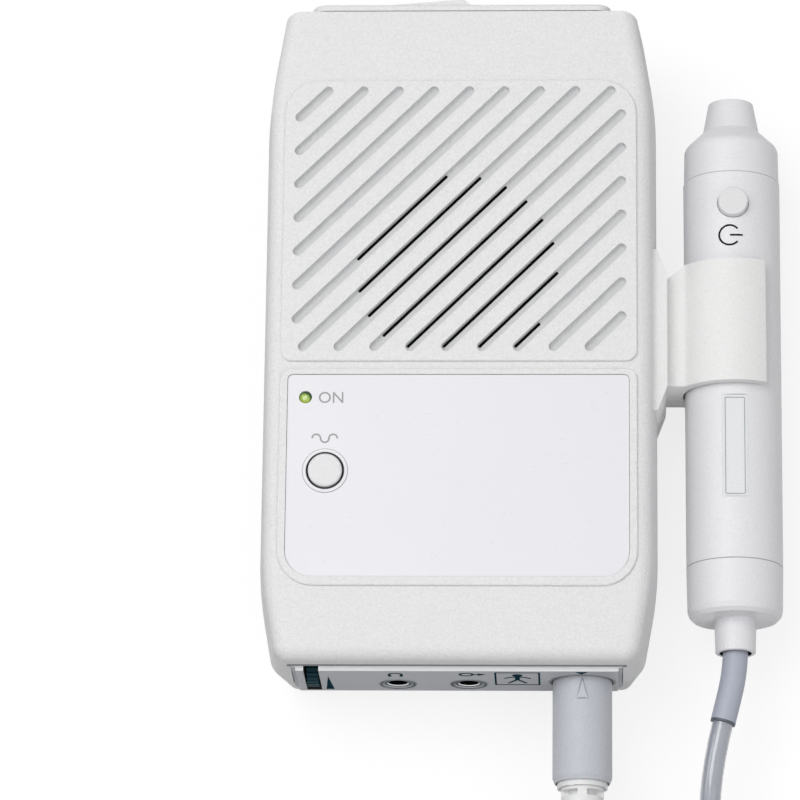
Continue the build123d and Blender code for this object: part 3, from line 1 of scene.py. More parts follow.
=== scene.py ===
"""Looks of a pocket vascular doppler: a box with a loudspeaker, and a pencil probe in its side clip."""
import math

import bmesh
import bpy
from mathutils import Matrix, Vector


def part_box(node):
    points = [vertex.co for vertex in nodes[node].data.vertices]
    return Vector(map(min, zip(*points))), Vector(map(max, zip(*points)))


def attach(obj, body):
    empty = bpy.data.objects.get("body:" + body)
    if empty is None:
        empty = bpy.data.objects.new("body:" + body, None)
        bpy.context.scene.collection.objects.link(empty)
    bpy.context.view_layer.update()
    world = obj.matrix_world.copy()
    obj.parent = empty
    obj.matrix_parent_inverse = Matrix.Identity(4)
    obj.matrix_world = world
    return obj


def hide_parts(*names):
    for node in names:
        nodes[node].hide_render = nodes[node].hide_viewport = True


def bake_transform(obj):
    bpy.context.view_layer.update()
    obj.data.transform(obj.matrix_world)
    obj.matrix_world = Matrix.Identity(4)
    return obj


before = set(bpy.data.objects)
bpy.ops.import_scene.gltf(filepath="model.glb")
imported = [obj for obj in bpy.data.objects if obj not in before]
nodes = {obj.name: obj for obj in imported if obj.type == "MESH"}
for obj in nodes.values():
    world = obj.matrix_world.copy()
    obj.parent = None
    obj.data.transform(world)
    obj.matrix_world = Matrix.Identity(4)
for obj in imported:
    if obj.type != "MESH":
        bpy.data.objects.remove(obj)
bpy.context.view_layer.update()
mm = 0.001

# Camera, a long lens above the lower end of the unit. It looks down at the front face as it lies on
# its back, a little from below and from the right.
view_data = bpy.data.cameras.new("view")
view_data.sensor_width = 36
view_data.lens = 212.06
view_data.clip_end = 10
view = bpy.data.objects.new("view", view_data)
bpy.context.collection.objects.link(view)
view_place = Vector((24.629, -274.416, 889.208))
view_aside, view_tilt, view_roll = 2.3837, 16.9719, 0.7075
view_turn = (
    Matrix.Rotation(math.radians(view_aside), 4, "Y")
    @ Matrix.Rotation(math.radians(view_tilt), 4, "X")
    @ Matrix.Rotation(math.radians(view_roll), 4, "Z")
)
view.matrix_world = Matrix.Translation(view_place * mm) @ view_turn
bpy.context.scene.camera = view

# Cord of the probe: one soft round cable, 4 mm thick, with a glossy grey sheath that light enters a
# little. It leaves the probe's sleeve, sinks to the table, lies in a coil and comes up into the plug.
cord_diameter = 4
cord_exit = (50.2, -71.8, 16.2)
coil_start = (67.9, 2.02)
coil_middle_y = -155
coil_radii = [25.9, 23.7, 21.4, 19.2, 17, 19.2, 21.4, 23.7, 25.9, 28.1,
              25.9, 23.7, 21.4, 19.2, 17, 19.2, 21.4, 23.7, 25.9]
coil_climb = 4.45
climbing_turns = (4, 9, 14)
points_in_half_turn = 8
cord_points = [
    cord_exit,
    (47.9, -81.07, 15.93),
    (47.6, -94, 12.8),
    (51.5, -108.5, 7.4),
    (58.8, -122.7, 3.4),
    (67.9, -137.5, 2.02),
    (67.9, -151, 2.02),
]
side = 1
place_x, place_z = coil_start
for turn, radius in enumerate(coil_radii):
    middle_x = place_x - side * radius
    climb = coil_climb if turn in climbing_turns else 0
    outer = radius / math.cos(math.pi / points_in_half_turn / 2)
    for step in range(points_in_half_turn):
        share = (step + 0.5) / points_in_half_turn
        angle = share * math.pi
        cord_points.append((middle_x + side * outer * math.cos(angle),
                            coil_middle_y - side * outer * math.sin(angle),
                            place_z + climb * share))
    place_x -= 2 * side * radius
    place_z += climb
    side = -side
cord_points += [
    (20.55, -151, 15.37),
    (20.55, -139, 15.37),
    (22.6, -126, 17),
    (23.65, -113, 18),
    (23.65, -101.3, 18),
]

cord_line = bpy.data.curves.new("cord_line", "CURVE")
cord_line.dimensions = "3D"
cord_line.resolution_u = 5
cord_line.bevel_resolution = 3
route = cord_line.splines.new("NURBS")
route.points.add(len(cord_points) - 1)
for point, place in zip(route.points, cord_points):
    point.co = (place[0] * mm, place[1] * mm, place[2] * mm, 1)
route.order_u = 3
route.use_endpoint_u = True
cord_curve = bpy.data.objects.new("cord_line", cord_line)
bpy.context.collection.objects.link(cord_curve)
route_mesh = bpy.data.meshes.new_from_object(cord_curve)
cord_line.bevel_depth = cord_diameter / 2 * mm
cord_line.use_fill_caps = True
bpy.context.view_layer.update()
cord = bpy.data.objects.new("cord", bpy.data.meshes.new_from_object(cord_curve))
bpy.context.collection.objects.link(cord)
bpy.data.objects.remove(cord_curve)
for face in cord.data.polygons:
    face.use_smooth = True
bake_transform(cord)
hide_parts("cord_probe_run", "cord_coil", "cord_plug_run")


def skin_group(name, sockets):
    """Empty node group with the named inputs, and with a colour, a roughness and a height out."""
    group = bpy.data.node_groups.new(name, "ShaderNodeTree")
    for label, kind, value in sockets:
        entry = group.interface.new_socket(label, in_out="INPUT", socket_type=kind)
        entry.default_value = value
    for label, kind in (("Colour", "NodeSocketColor"), ("Roughness", "NodeSocketFloat"),
                        ("Height", "NodeSocketFloat")):
        group.interface.new_socket(label, in_out="OUTPUT", socket_type=kind)
    return group, group.nodes.new("NodeGroupInput"), group.nodes.new("NodeGroupOutput")


def put_out(group, group_out, colour, roughness, height):
    """What the surface effect gives to a material."""
    for label, value in (("Colour", colour), ("Roughness", roughness), ("Height", height)):
        group.links.new(value, group_out.inputs[label])


def noise(tree, vector, scale, detail=2.0, roughness=0.5):
    """Noise of one scale on the given coordinates; its height is returned."""
    texture = tree.nodes.new("ShaderNodeTexNoise")
    if isinstance(scale, (int, float)):
        texture.inputs["Scale"].default_value = scale
    else:
        tree.links.new(scale, texture.inputs["Scale"])
    texture.inputs["Detail"].default_value = detail
    texture.inputs["Roughness"].default_value = roughness
    tree.links.new(vector, texture.inputs["Vector"])
    return texture.outputs["Fac"]


def spread(tree, value, low, high, to_low, to_high):
    """Value moved from one range to another and held inside it."""
    ranged = tree.nodes.new("ShaderNodeMapRange")
    for label, number in (("From Min", low), ("From Max", high), ("To Min", to_low), ("To Max", to_high)):
        if isinstance(number, (int, float)):
            ranged.inputs[label].default_value = number
        else:
            tree.links.new(number, ranged.inputs[label])
    tree.links.new(value, ranged.inputs["Value"])
    return ranged.outputs["Result"]


def maths(tree, operation, first, second=0.0):
    """One step of arithmetic on links or numbers."""
    node = tree.nodes.new("ShaderNodeMath")
    node.operation = operation
    for socket, value in zip(node.inputs, (first, second)):
        if isinstance(value, (int, float)):
            socket.default_value = value
        else:
            tree.links.new(value, socket)
    return node.outputs[0]


def shade(tree, colour, factor):
    """Colour made lighter or darker by a factor."""
    scaled = tree.nodes.new("ShaderNodeVectorMath")
    scaled.operation = "SCALE"
    tree.links.new(colour, scaled.inputs[0])
    tree.links.new(factor, scaled.inputs["Scale"])
    return scaled.outputs[0]


def object_places(tree, scale=(1, 1, 1), location=(0, 0, 0)):
    """Object coordinates, moved and stretched."""
    places = tree.nodes.new("ShaderNodeTexCoord").outputs["Object"]
    mapping = tree.nodes.new("ShaderNodeMapping")
    mapping.inputs["Location"].default_value = location
    mapping.inputs["Scale"].default_value = scale
    tree.links.new(places, mapping.inputs["Vector"])
    return mapping.outputs["Vector"]


# Moulded surface, shared by every plastic: spark-eroded grain, slow clouds in the colour, fine scuffs
# that polish it, and dust that settles on it in specks.
moulded_skin, skin_in, skin_out = skin_group("moulded_skin", [
    ("Colour", "NodeSocketColor", (0.8, 0.8, 0.8, 1)),
    ("Roughness", "NodeSocketFloat", 0.5),
    ("Grain", "NodeSocketFloat", 2500),
    ("Clouds", "NodeSocketFloat", 0.03),
    ("Scuffs", "NodeSocketFloat", 0.1),
    ("Mottle", "NodeSocketFloat", 0.19),
])
skin_places = object_places(moulded_skin)
skin_grain = noise(moulded_skin, skin_places, skin_in.outputs["Grain"], 3, 0.6)
skin_clouds = noise(moulded_skin, skin_places, 45, 3)
skin_scuff_lines = noise(moulded_skin, object_places(moulded_skin, (260, 2300, 260)), 1.0, 4, 0.6)
skin_scuff_patches = noise(moulded_skin, skin_places, 70, 2)
skin_scuffs = maths(moulded_skin, "MULTIPLY",
                    spread(moulded_skin, skin_scuff_lines, 0.6, 0.7, 0, 1),
                    spread(moulded_skin, skin_scuff_patches, 0.5, 0.65, 0, 1))
skin_scuffs = maths(moulded_skin, "MULTIPLY", skin_scuffs, skin_in.outputs["Scuffs"])
skin_specks = spread(moulded_skin, noise(moulded_skin, skin_places, 900, 1), 0.72, 0.78, 0, 0.05)
skin_tone = maths(moulded_skin, "MULTIPLY", maths(moulded_skin, "SUBTRACT", skin_clouds, 0.5),
                  skin_in.outputs["Clouds"])
skin_mottle = maths(moulded_skin, "MULTIPLY", maths(moulded_skin, "SUBTRACT", skin_grain, 0.54),
                    skin_in.outputs["Mottle"])
skin_tone = maths(moulded_skin, "ADD", maths(moulded_skin, "ADD", skin_tone, skin_mottle), 1.0)
skin_tone = maths(moulded_skin, "SUBTRACT", skin_tone, maths(moulded_skin, "MULTIPLY", skin_scuffs, 0.25))
skin_tone = maths(moulded_skin, "SUBTRACT", skin_tone, skin_specks)
skin_cloud_rough = maths(moulded_skin, "MULTIPLY", maths(moulded_skin, "SUBTRACT", skin_clouds, 0.5), 0.18)
skin_rough = maths(moulded_skin, "ADD", skin_in.outputs["Roughness"], skin_cloud_rough)
skin_rough = maths(moulded_skin, "SUBTRACT", skin_rough, maths(moulded_skin, "MULTIPLY", skin_scuffs, 0.5))
put_out(moulded_skin, skin_out, shade(moulded_skin, skin_in.outputs["Colour"], skin_tone), skin_rough,
        maths(moulded_skin, "SUBTRACT", skin_grain, skin_scuffs))


def finish(name, group, depth, values, **sockets):
    """Material of one finish: a shared surface effect feeds a shader that has plain values of its own."""
    material = bpy.data.materials.new(name)
    material.use_nodes = True
    tree = material.node_tree
    shader = tree.nodes["Principled BSDF"]
    effect = tree.nodes.new("ShaderNodeGroup")
    effect.node_tree = group
    for label, value in values.items():
        entry = effect.inputs[label]
        entry.default_value = (*value, 1) if entry.type == "RGBA" else value
    tree.links.new(effect.outputs["Colour"], shader.inputs["Base Color"])
    tree.links.new(effect.outputs["Roughness"], shader.inputs["Roughness"])
    bump = tree.nodes.new("ShaderNodeBump")
    bump.inputs["Strength"].default_value = 1
    bump.inputs["Distance"].default_value = depth * mm
    tree.links.new(effect.outputs["Height"], bump.inputs["Height"])
    tree.links.new(bump.outputs["Normal"], shader.inputs["Normal"])
    for label, value in sockets.items():
        shader.inputs[label.replace("_", " ").title().replace("Ior", "IOR")].default_value = value
    return material


def wear(material, *names):
    """The material goes on these CAD nodes."""
    for name in names:
        for spot in nodes[name].material_slots:
            spot.material = material


cord_sheath = finish("cord_sheath", moulded_skin, 0.004,
                     {"Colour": (0.45, 0.47, 0.53), "Roughness": 0.22, "Grain": 900, "Clouds": 0.1,
                      "Scuffs": 0.3},
                     transmission_weight=0.25, ior=1.5, coat_weight=1.0, coat_roughness=0.05)
cord.data.materials.clear()
cord.data.materials.append(cord_sheath)

# Table top and studio: a plain pale surface under two large soft lamps, one above and one in front,
# with a smaller one from the left, and an even pale surround that the camera sees as white.
bpy.context.scene.view_settings.view_transform = "Standard"
table_mesh = bpy.data.meshes.new("table_top")
table_form = bmesh.new()
bmesh.ops.create_grid(table_form, x_segments=1, y_segments=1, size=3)
table_form.to_mesh(table_mesh)
table_form.free()
table_top = bpy.data.objects.new("table_top", table_mesh)
bpy.context.collection.objects.link(table_top)


def seen_rays(tree):
    """1 for what the camera, gloss and glass see, 0 for the light that falls on things."""
    rays = tree.nodes.new("ShaderNodeLightPath")
    both = maths(tree, "MAXIMUM", rays.outputs["Is Camera Ray"], rays.outputs["Is Glossy Ray"])
    return maths(tree, "MAXIMUM", both, rays.outputs["Is Transmission Ray"])


table_paint = bpy.data.materials.new("table_paint")
table_paint.use_nodes = True
table_tree = table_paint.node_tree
table_shader = table_tree.nodes["Principled BSDF"]
table_shader.inputs["Base Color"].default_value = (0.25, 0.25, 0.25, 1)
table_shader.inputs["Roughness"].default_value = 0.9
table_shader.inputs["Specular IOR Level"].default_value = 0
table_shader.inputs["Emission Color"].default_value = (1, 1, 1, 1)
table_glow = maths(table_tree, "MULTIPLY", seen_rays(table_tree), 0.79)
table_tree.links.new(table_glow, table_shader.inputs["Emission Strength"])
table_mesh.materials.append(table_paint)

surround = bpy.data.worlds.new("surround")
bpy.context.scene.world = surround
surround.use_nodes = True
surround_tree = surround.node_tree
surround_light = surround_tree.nodes["Background"]
surround_light.inputs["Color"].default_value = (1, 1, 1, 1)
surround_strength = spread(surround_tree, seen_rays(surround_tree), 0, 1, 0.49, 1.0)
surround_tree.links.new(surround_strength, surround_light.inputs["Strength"])

lamp_aim = Vector((0, 0, 0.02))
for lamp_name, lamp_size, lamp_power, lamp_place in (
    ("lamp_above", 0.6, 4.2, (-0.30, 0.14, 1.0)),
    ("lamp_front", 0.6, 1.3, (0.42, -0.60, 0.75)),
    ("lamp_left", 0.3, 0.5, (-0.8, 0.1, 0.5)),
):
    lamp_data = bpy.data.lights.new(lamp_name, "AREA")
    lamp_data.size = lamp_size
    lamp_data.energy = lamp_power
    lamp = bpy.data.objects.new(lamp_name, lamp_data)
    bpy.context.collection.objects.link(lamp)
    lamp.location = lamp_place
    lamp.rotation_euler = (Vector(lamp_place) - lamp_aim).to_track_quat("Z", "Y").to_euler()

# Case of the unit: two halves and the battery cover, moulded in matt off-white plastic with a fine
# eroded grain. They are screwed together from behind, and the cover slides on from the top end.
case_grain = {"Colour": (0.835, 0.835, 0.84), "Roughness": 0.55, "Grain": 2300, "Clouds": 0.03,
              "Scuffs": 0.06, "Mottle": 0.3}
case_plastic = finish("case_plastic", moulded_skin, 0.16, case_grain)
wear(case_plastic, "back_shell", "battery_cover")


def between(tree, value, low, high, soft):
    """1 where a value lies between two limits, with soft ends."""
    rise = spread(tree, value, low - soft, low, 0, 1)
    fall = spread(tree, value, high, high + soft, 1, 0)
    return maths(tree, "MULTIPLY", rise, fall)


def tint(tree, mask, colour_a, colour_b):
    """First colour where the mask is 0, second where it is 1."""
    mix = tree.nodes.new("ShaderNodeMix")
    mix.data_type = "RGBA"
    tree.links.new(mask, mix.inputs["Factor"])
    for socket, colour in ((mix.inputs[6], colour_a), (mix.inputs[7], colour_b)):
        if isinstance(colour, tuple):
            socket.default_value = (*colour, 1)
        else:
            tree.links.new(colour, socket)
    return mix.outputs[2]


def three_ways(tree):
    """Object coordinates as three separate values, in millimetres."""
    parts = tree.nodes.new("ShaderNodeSeparateXYZ")
    tree.links.new(object_places(tree, (1 / mm, 1 / mm, 1 / mm)), parts.inputs["Vector"])
    return parts.outputs


def paint_over(material, mask, colour):
    """The material's colour is replaced under a mask."""
    tree = material.node_tree
    base = tree.nodes["Principled BSDF"].inputs["Base Color"]
    tree.links.new(tint(tree, mask, base.links[0].from_socket, colour), base)


def reach_from(tree, first, second, middle):
    """Distance of two coordinates from a middle."""
    squares = []
    for coordinate, centre in ((first, middle[0]), (second, middle[1])):
        side = maths(tree, "SUBTRACT", coordinate, centre)
        squares.append(maths(tree, "MULTIPLY", side, side))
    return maths(tree, "SQRT", maths(tree, "ADD", *squares))


def round_place(tree, middle, radius):
    """1 inside a round place seen from the front, 0 outside."""
    place_x, place_y, _ = three_ways(tree)
    return spread(tree, reach_from(tree, place_x, place_y, middle), radius - 0.02, radius, 1, 0)


def middle_of(name):
    """Middle of a CAD node's box, in millimetres."""
    low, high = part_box(name)
    return (Vector(low) + Vector(high)) / 2 / mm


# Front half, moulded in the same plastic, with the raised grille: sixteen diagonal grooves, the middle
# ones cut through to the loudspeaker. The floors of the grooves are painted darker in patches: painted
# shade in the grooves.
front_plastic = finish("front_plastic", moulded_skin, 0.16, case_grain)
front_tree = front_plastic.node_tree
front_x, front_y, front_z = three_ways(front_tree)
front_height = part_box("front_shell")[1][2] / mm
panel_rise = 0.6
groove_floor_z = front_height - 1.3
grille_aside, grille_low, grille_high = 33.5, -4.0, 52.2
grille_place = maths(front_tree, "MULTIPLY",
                     between(front_tree, front_x, -grille_aside, grille_aside, 0.1),
                     between(front_tree, front_y, grille_low, grille_high, 0.1))
groove_floor = maths(front_tree, "MULTIPLY", grille_place,
                     spread(front_tree, front_z, groove_floor_z + 0.1, groove_floor_z + 0.7, 1, 0))
# Painted shade: the groove floors are darkened in patches.
groove_floor_shade = maths(front_tree, "MULTIPLY", groove_floor,
                    spread(front_tree, noise(front_tree, object_places(front_tree), 260, 4),
                           0.2, 0.8, 0.55, 1))
paint_over(front_plastic, groove_floor_shade, (0.68, 0.685, 0.69))
# Painted shade: the walls of the through slits, below the groove floors, are painted near black.
slit_wall_shade = maths(front_tree, "MULTIPLY", grille_place,
                   between(front_tree, front_z, front_height - 3, groove_floor_z - 0.08, 0.02))
paint_over(front_plastic, slit_wall_shade, (0.02, 0.02, 0.022))
test_button = middle_of("cal_button")
# Painted shade: the well round the test button is painted near black.
button_well_radius = 4.7
paint_over(front_plastic, round_place(front_tree, test_button, button_well_radius), (0.03, 0.03, 0.033))
panel_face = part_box("end_panel")[0][1] / mm
panel_edge_height = 26.6
joint_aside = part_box("end_panel")[1][0] / mm + 0.8
joint_above = maths(front_tree, "MULTIPLY",
                    between(front_tree, front_y, panel_face + 0.7, panel_face + 1.1, 0.02),
                    between(front_tree, front_z, panel_edge_height - 0.4, panel_edge_height + 1.0, 0.02))
panel_joint = maths(front_tree, "MULTIPLY", joint_above,
                    between(front_tree, front_x, -joint_aside, joint_aside, 0.1))
paint_over(front_plastic, panel_joint, (0.25, 0.25, 0.26))
# Painted shade: a grey line along the foot of the raised grille panel, where its edge is in shade.
panel_foot = front_height - panel_rise
paint_over(front_plastic, between(front_tree, front_z, panel_foot + 0.05, panel_foot + 0.18, 0.03),
           (0.5, 0.5, 0.5))
wear(front_plastic, "front_shell")

# Loudspeaker under the slits: a black woven screen, a pressed steel basket and magnet cup, and a
# cone of dark paper pulp, glued together and held down by the front half's ribs.
paper_pulp, pulp_in, pulp_out = skin_group("paper_pulp", [
    ("Colour", "NodeSocketColor", (0.05, 0.05, 0.05, 1)), ("Roughness", "NodeSocketFloat", 0.9),
    ("Fibres", "NodeSocketFloat", 900),
])
pulp_fibres = noise(paper_pulp, object_places(paper_pulp, (1, 1.9, 1)), pulp_in.outputs["Fibres"], 6, 0.7)
pulp_tone = spread(paper_pulp, pulp_fibres, 0.3, 0.7, 0.6, 1.5)
put_out(paper_pulp, pulp_out, shade(paper_pulp, pulp_in.outputs["Colour"], pulp_tone),
        pulp_in.outputs["Roughness"], pulp_fibres)
cone_paper = finish("cone_paper", paper_pulp, 0.05, {"Colour": (0.035, 0.035, 0.04), "Fibres": 900})
wear(cone_paper, "speaker_cone")

screen_cloth, cloth_in, cloth_out = skin_group("screen_cloth", [
    ("Colour", "NodeSocketColor", (0.02, 0.02, 0.02, 1)), ("Roughness", "NodeSocketFloat", 0.85),
    ("Threads", "NodeSocketFloat", 9),
])
cloth_x, cloth_y, _ = three_ways(screen_cloth)
warp = maths(screen_cloth, "SINE", maths(screen_cloth, "MULTIPLY", cloth_x, cloth_in.outputs["Threads"]))
weft = maths(screen_cloth, "SINE", maths(screen_cloth, "MULTIPLY", cloth_y, cloth_in.outputs["Threads"]))
crossing = maths(screen_cloth, "MULTIPLY", warp, weft)
thread_tone = spread(screen_cloth, crossing, -1, 1, 0.5, 1.6)
put_out(screen_cloth, cloth_out, shade(screen_cloth, cloth_in.outputs["Colour"], thread_tone),
        cloth_in.outputs["Roughness"], crossing)
speaker_cloth = finish("speaker_cloth", screen_cloth, 0.04, {"Colour": (0.012, 0.012, 0.013)})
wear(speaker_cloth, "speaker_screen")

# Metal surface, shared by plated, turned and pressed pieces: fine rings round the turning axis,
# faint tarnish in clouds, and short handling scratches.
turned_metal, turned_in, turned_out = skin_group("turned_metal", [
    ("Colour", "NodeSocketColor", (0.6, 0.6, 0.6, 1)), ("Roughness", "NodeSocketFloat", 0.3),
    ("Centre", "NodeSocketVector", (0, 0, 0)), ("Across", "NodeSocketVector", (1, 0, 1)),
    ("Rings", "NodeSocketFloat", 9000),
])
turned_reach = object_places(turned_metal)
for turned_step, turned_label in (("SUBTRACT", "Centre"), ("MULTIPLY", "Across")):
    turned_node = turned_metal.nodes.new("ShaderNodeVectorMath")
    turned_node.operation = turned_step
    turned_metal.links.new(turned_reach, turned_node.inputs[0])
    turned_metal.links.new(turned_in.outputs[turned_label], turned_node.inputs[1])
    turned_reach = turned_node.outputs[0]
turned_length = turned_metal.nodes.new("ShaderNodeVectorMath")
turned_length.operation = "LENGTH"
turned_metal.links.new(turned_reach, turned_length.inputs[0])
turned_place = turned_metal.nodes.new("ShaderNodeCombineXYZ")
turned_metal.links.new(turned_length.outputs["Value"], turned_place.inputs["X"])
turned_rings = noise(turned_metal, turned_place.outputs[0], turned_in.outputs["Rings"], 2)
turned_clouds = noise(turned_metal, object_places(turned_metal), 320, 4, 0.6)
turned_lines = noise(turned_metal, object_places(turned_metal, (700, 5200, 1800)), 1.0, 3)
turned_marks = spread(turned_metal, turned_lines, 0.66, 0.72, 0, 1)
turned_tone = maths(turned_metal, "ADD", spread(turned_metal, turned_clouds, 0.3, 0.7, 0.88, 1.06),
                    maths(turned_metal, "MULTIPLY", turned_marks, 0.12))
turned_rough = maths(turned_metal, "ADD", turned_in.outputs["Roughness"],
                     spread(turned_metal, turned_clouds, 0.3, 0.7, -0.06, 0.1))
put_out(turned_metal, turned_out, shade(turned_metal, turned_in.outputs["Colour"], turned_tone),
        turned_rough, maths(turned_metal, "SUBTRACT", turned_rings, turned_marks))

pressed_steel = finish("pressed_steel", turned_metal, 0.004,
                       {"Colour": (0.55, 0.56, 0.57), "Roughness": 0.38, "Across": (1, 1, 0),
                        "Rings": 2400},
                       metallic=1.0)
wear(pressed_steel, "speaker_frame", "shield_can")
ferrite = finish("ferrite", moulded_skin, 0.03,
                 {"Colour": (0.10, 0.10, 0.11), "Roughness": 0.5, "Grain": 1800, "Clouds": 0.2},
                 metallic=0.4)
wear(ferrite, "speaker_magnet")

# Control plate: a smooth printed film with a faint lavender white, let into the lower bezel. Its
# words are generic: a plain ON beside the lamp, and a wave above the button that gives a test tone.
plate_film = finish("plate_film", moulded_skin, 0.003,
                    {"Colour": (0.82, 0.815, 0.85), "Roughness": 0.32, "Grain": 3500, "Clouds": 0.02,
                     "Scuffs": 0.1, "Mottle": 0.08})
# Painted shade: the walls of the plate's hole round the test button are painted near black.
plate_hole_radius = 3.7
plate_hole_shade = round_place(plate_film.node_tree, test_button, plate_hole_radius)
paint_over(plate_film, plate_hole_shade, (0.05, 0.05, 0.055))
wear(plate_film, "face_plate")
ink_height = 0.04


def bar(form, start, end, width):
    """Straight stroke of ink, flat, in millimetres."""
    start, end = Vector((*start, 0)), Vector((*end, 0))
    run = end - start
    place = (Matrix.Translation((start + end) / 2) @ Matrix.Rotation(math.atan2(run.y, run.x), 4, "Z")
             @ Matrix.Diagonal((run.length, width, 1, 1)))
    pieces = max(1, round(run.length / 0.5))
    bmesh.ops.create_grid(form, x_segments=pieces, y_segments=1, size=0.5, matrix=place)


def bow(form, middle, radius, width, start, sweep, stretch=1):
    """Curved stroke of ink about a middle, from a start angle through a sweep, in degrees."""
    strokes_before = set(form.verts)
    turned = Matrix.Rotation(math.radians(start), 4, "Z")
    inner = form.verts.new(turned @ Vector((radius - width / 2, 0, 0)))
    outer = form.verts.new(turned @ Vector((radius + width / 2, 0, 0)))
    edge = form.edges.new((inner, outer))
    steps = max(4, round(abs(sweep) / 12))
    bmesh.ops.spin(form, geom=[inner, outer, edge], cent=(0, 0, 0), axis=(0, 0, 1),
                   angle=math.radians(sweep), steps=steps, use_merge=abs(sweep) == 360)
    corners = [corner for corner in form.verts if corner not in strokes_before]
    bmesh.ops.scale(form, vec=(stretch, 1, 1), verts=corners)
    bmesh.ops.translate(form, vec=(*middle, 0), verts=corners)


def blot(form, middle, radius, sides=16, turn=0, stretch=1):
    """Filled round or, with three sides, triangular patch of ink."""
    place = (Matrix.Translation((*middle, 0)) @ Matrix.Diagonal((stretch, 1, 1, 1))
             @ Matrix.Rotation(math.radians(turn), 4, "Z"))
    bmesh.ops.create_circle(form, cap_ends=True, segments=sides, radius=radius, matrix=place)


def printed(name, form, place, body, material, rise=ink_height, drape=None):
    """Flat strokes given the thickness of ink, put in place and made a piece that rides on a body.

    Where they lie on a round piece, drape is the X, Z and radius of its axis, which runs along Y.
    """
    bmesh.ops.remove_doubles(form, verts=form.verts[:], dist=0.0001)
    raised = bmesh.ops.extrude_face_region(form, geom=form.faces[:])["geom"]
    upper = [item for item in raised if isinstance(item, bmesh.types.BMVert)]
    bmesh.ops.translate(form, vec=(0, 0, rise), verts=upper)
    bmesh.ops.recalc_face_normals(form, faces=form.faces[:])
    bmesh.ops.transform(form, matrix=place, verts=form.verts[:])
    if drape:
        axis_x, axis_z, radius = drape
        for corner in form.verts:
            corner.co.z += math.sqrt(radius**2 - (corner.co.x - axis_x) ** 2) + axis_z
    bmesh.ops.scale(form, vec=(mm, mm, mm), verts=form.verts[:])
    mesh = bpy.data.meshes.new(name)
    form.to_mesh(mesh)
    form.free()
    mesh.materials.append(material)
    piece = bpy.data.objects.new(name, mesh)
    bpy.context.collection.objects.link(piece)
    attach(piece, body)


grey_ink = finish("grey_ink", moulded_skin, 0.002,
                  {"Colour": (0.40, 0.40, 0.41), "Roughness": 0.45, "Grain": 4000, "Clouds": 0.12},
                  specular_ior_level=0.0)
button_ring_rise = 0.15
plate_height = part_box("face_plate")[1][2] / mm - button_ring_rise
on_curve = bpy.data.curves.new("on_word", "FONT")
on_curve.body = "ON"
on_curve.size = 3.15
on_curve.resolution_u = 4
on_text = bpy.data.objects.new("on_word", on_curve)
bpy.context.collection.objects.link(on_text)
on_form = bmesh.new()
on_form.from_mesh(bpy.data.meshes.new_from_object(on_text))
bpy.data.objects.remove(on_text)
lamp_middle = middle_of("power_led")
on_place = Matrix.Translation((lamp_middle.x + 2.4, lamp_middle.y - 1.15, plate_height))
printed("on_word", on_form, on_place, "unit", grey_ink)
wave = bmesh.new()
wave_radius = 0.8
for wave_part, wave_start in ((-1, 0), (0, 180), (1, 0)):
    bow(wave, (wave_part * 2 * wave_radius, 0), wave_radius, 0.3, wave_start, 180)
wave_place = Matrix.Translation((test_button.x - 0.15, test_button.y + 6.4, plate_height))
printed("wave_sign", wave, wave_place, "unit", grey_ink)

# Power lamp: a small clear lens tinted green-yellow, set just below the film, over a chip that glows.
# Its rim and upper right are painted shade, which also dims the glow there, and its lower part is
# painted lighter and yellower, a painted highlight.
lamp_lens = finish("lamp_lens", moulded_skin, 0.001,
                   {"Colour": (0.44, 0.60, 0.11), "Roughness": 0.08, "Grain": 2000, "Clouds": 0.1},
                   transmission_weight=0.25, ior=1.5, coat_weight=0.6, coat_roughness=0.05)
lamp_tree = lamp_lens.node_tree
lamp_x, lamp_y, _ = three_ways(lamp_tree)
# Painted shade on the lens's rim and upper right, and a painted highlight on its lower part.
lamp_bright = (lamp_middle.x - 0.55, lamp_middle.y - 0.72)
lamp_shade_crescent = spread(lamp_tree, reach_from(lamp_tree, lamp_x, lamp_y, lamp_bright), 1.25, 1.75, 0, 1)
lamp_low_highlight = spread(lamp_tree, lamp_y, lamp_middle.y - 1.4, lamp_middle.y - 0.1, 1, 0)
paint_over(lamp_lens, lamp_low_highlight, (0.62, 0.62, 0.12))
paint_over(lamp_lens, lamp_shade_crescent, (0.035, 0.12, 0.03))
lamp_shader = lamp_tree.nodes["Principled BSDF"]
lamp_glow = tint(lamp_tree, lamp_shade_crescent, (0.05, 0.09, 0.005), (0.0, 0.01, 0.0))
lamp_tree.links.new(lamp_glow, lamp_shader.inputs["Emission Color"])
lamp_shader.inputs["Emission Strength"].default_value = 1.0
wear(lamp_lens, "power_led")

# Push buttons of the plate and of the probe: satin white caps that move down in their guides, with
# faint scuffs from fingers. A fine grey line round the one on the plate is painted shade at the foot of
# its raised ring.
button_plastic = finish("button_plastic", moulded_skin, 0.012,
                        {"Colour": (0.78, 0.78, 0.79), "Roughness": 0.38, "Grain": 2500, "Clouds": 0.03,
                         "Scuffs": 0.15})
wear(button_plastic, "cal_button", "probe_button")
# Painted shade: a thin grey line of ink at the foot of the test button's raised ring.
ring_shade_line = bmesh.new()
ring_radius = 4.33
bow(ring_shade_line, (0, 0), ring_radius, 0.1, 0, 360)
ring_place = Matrix.Translation((test_button.x, test_button.y, plate_height))
printed("button_ring_shade_line", ring_shade_line, ring_place, "unit", grey_ink)

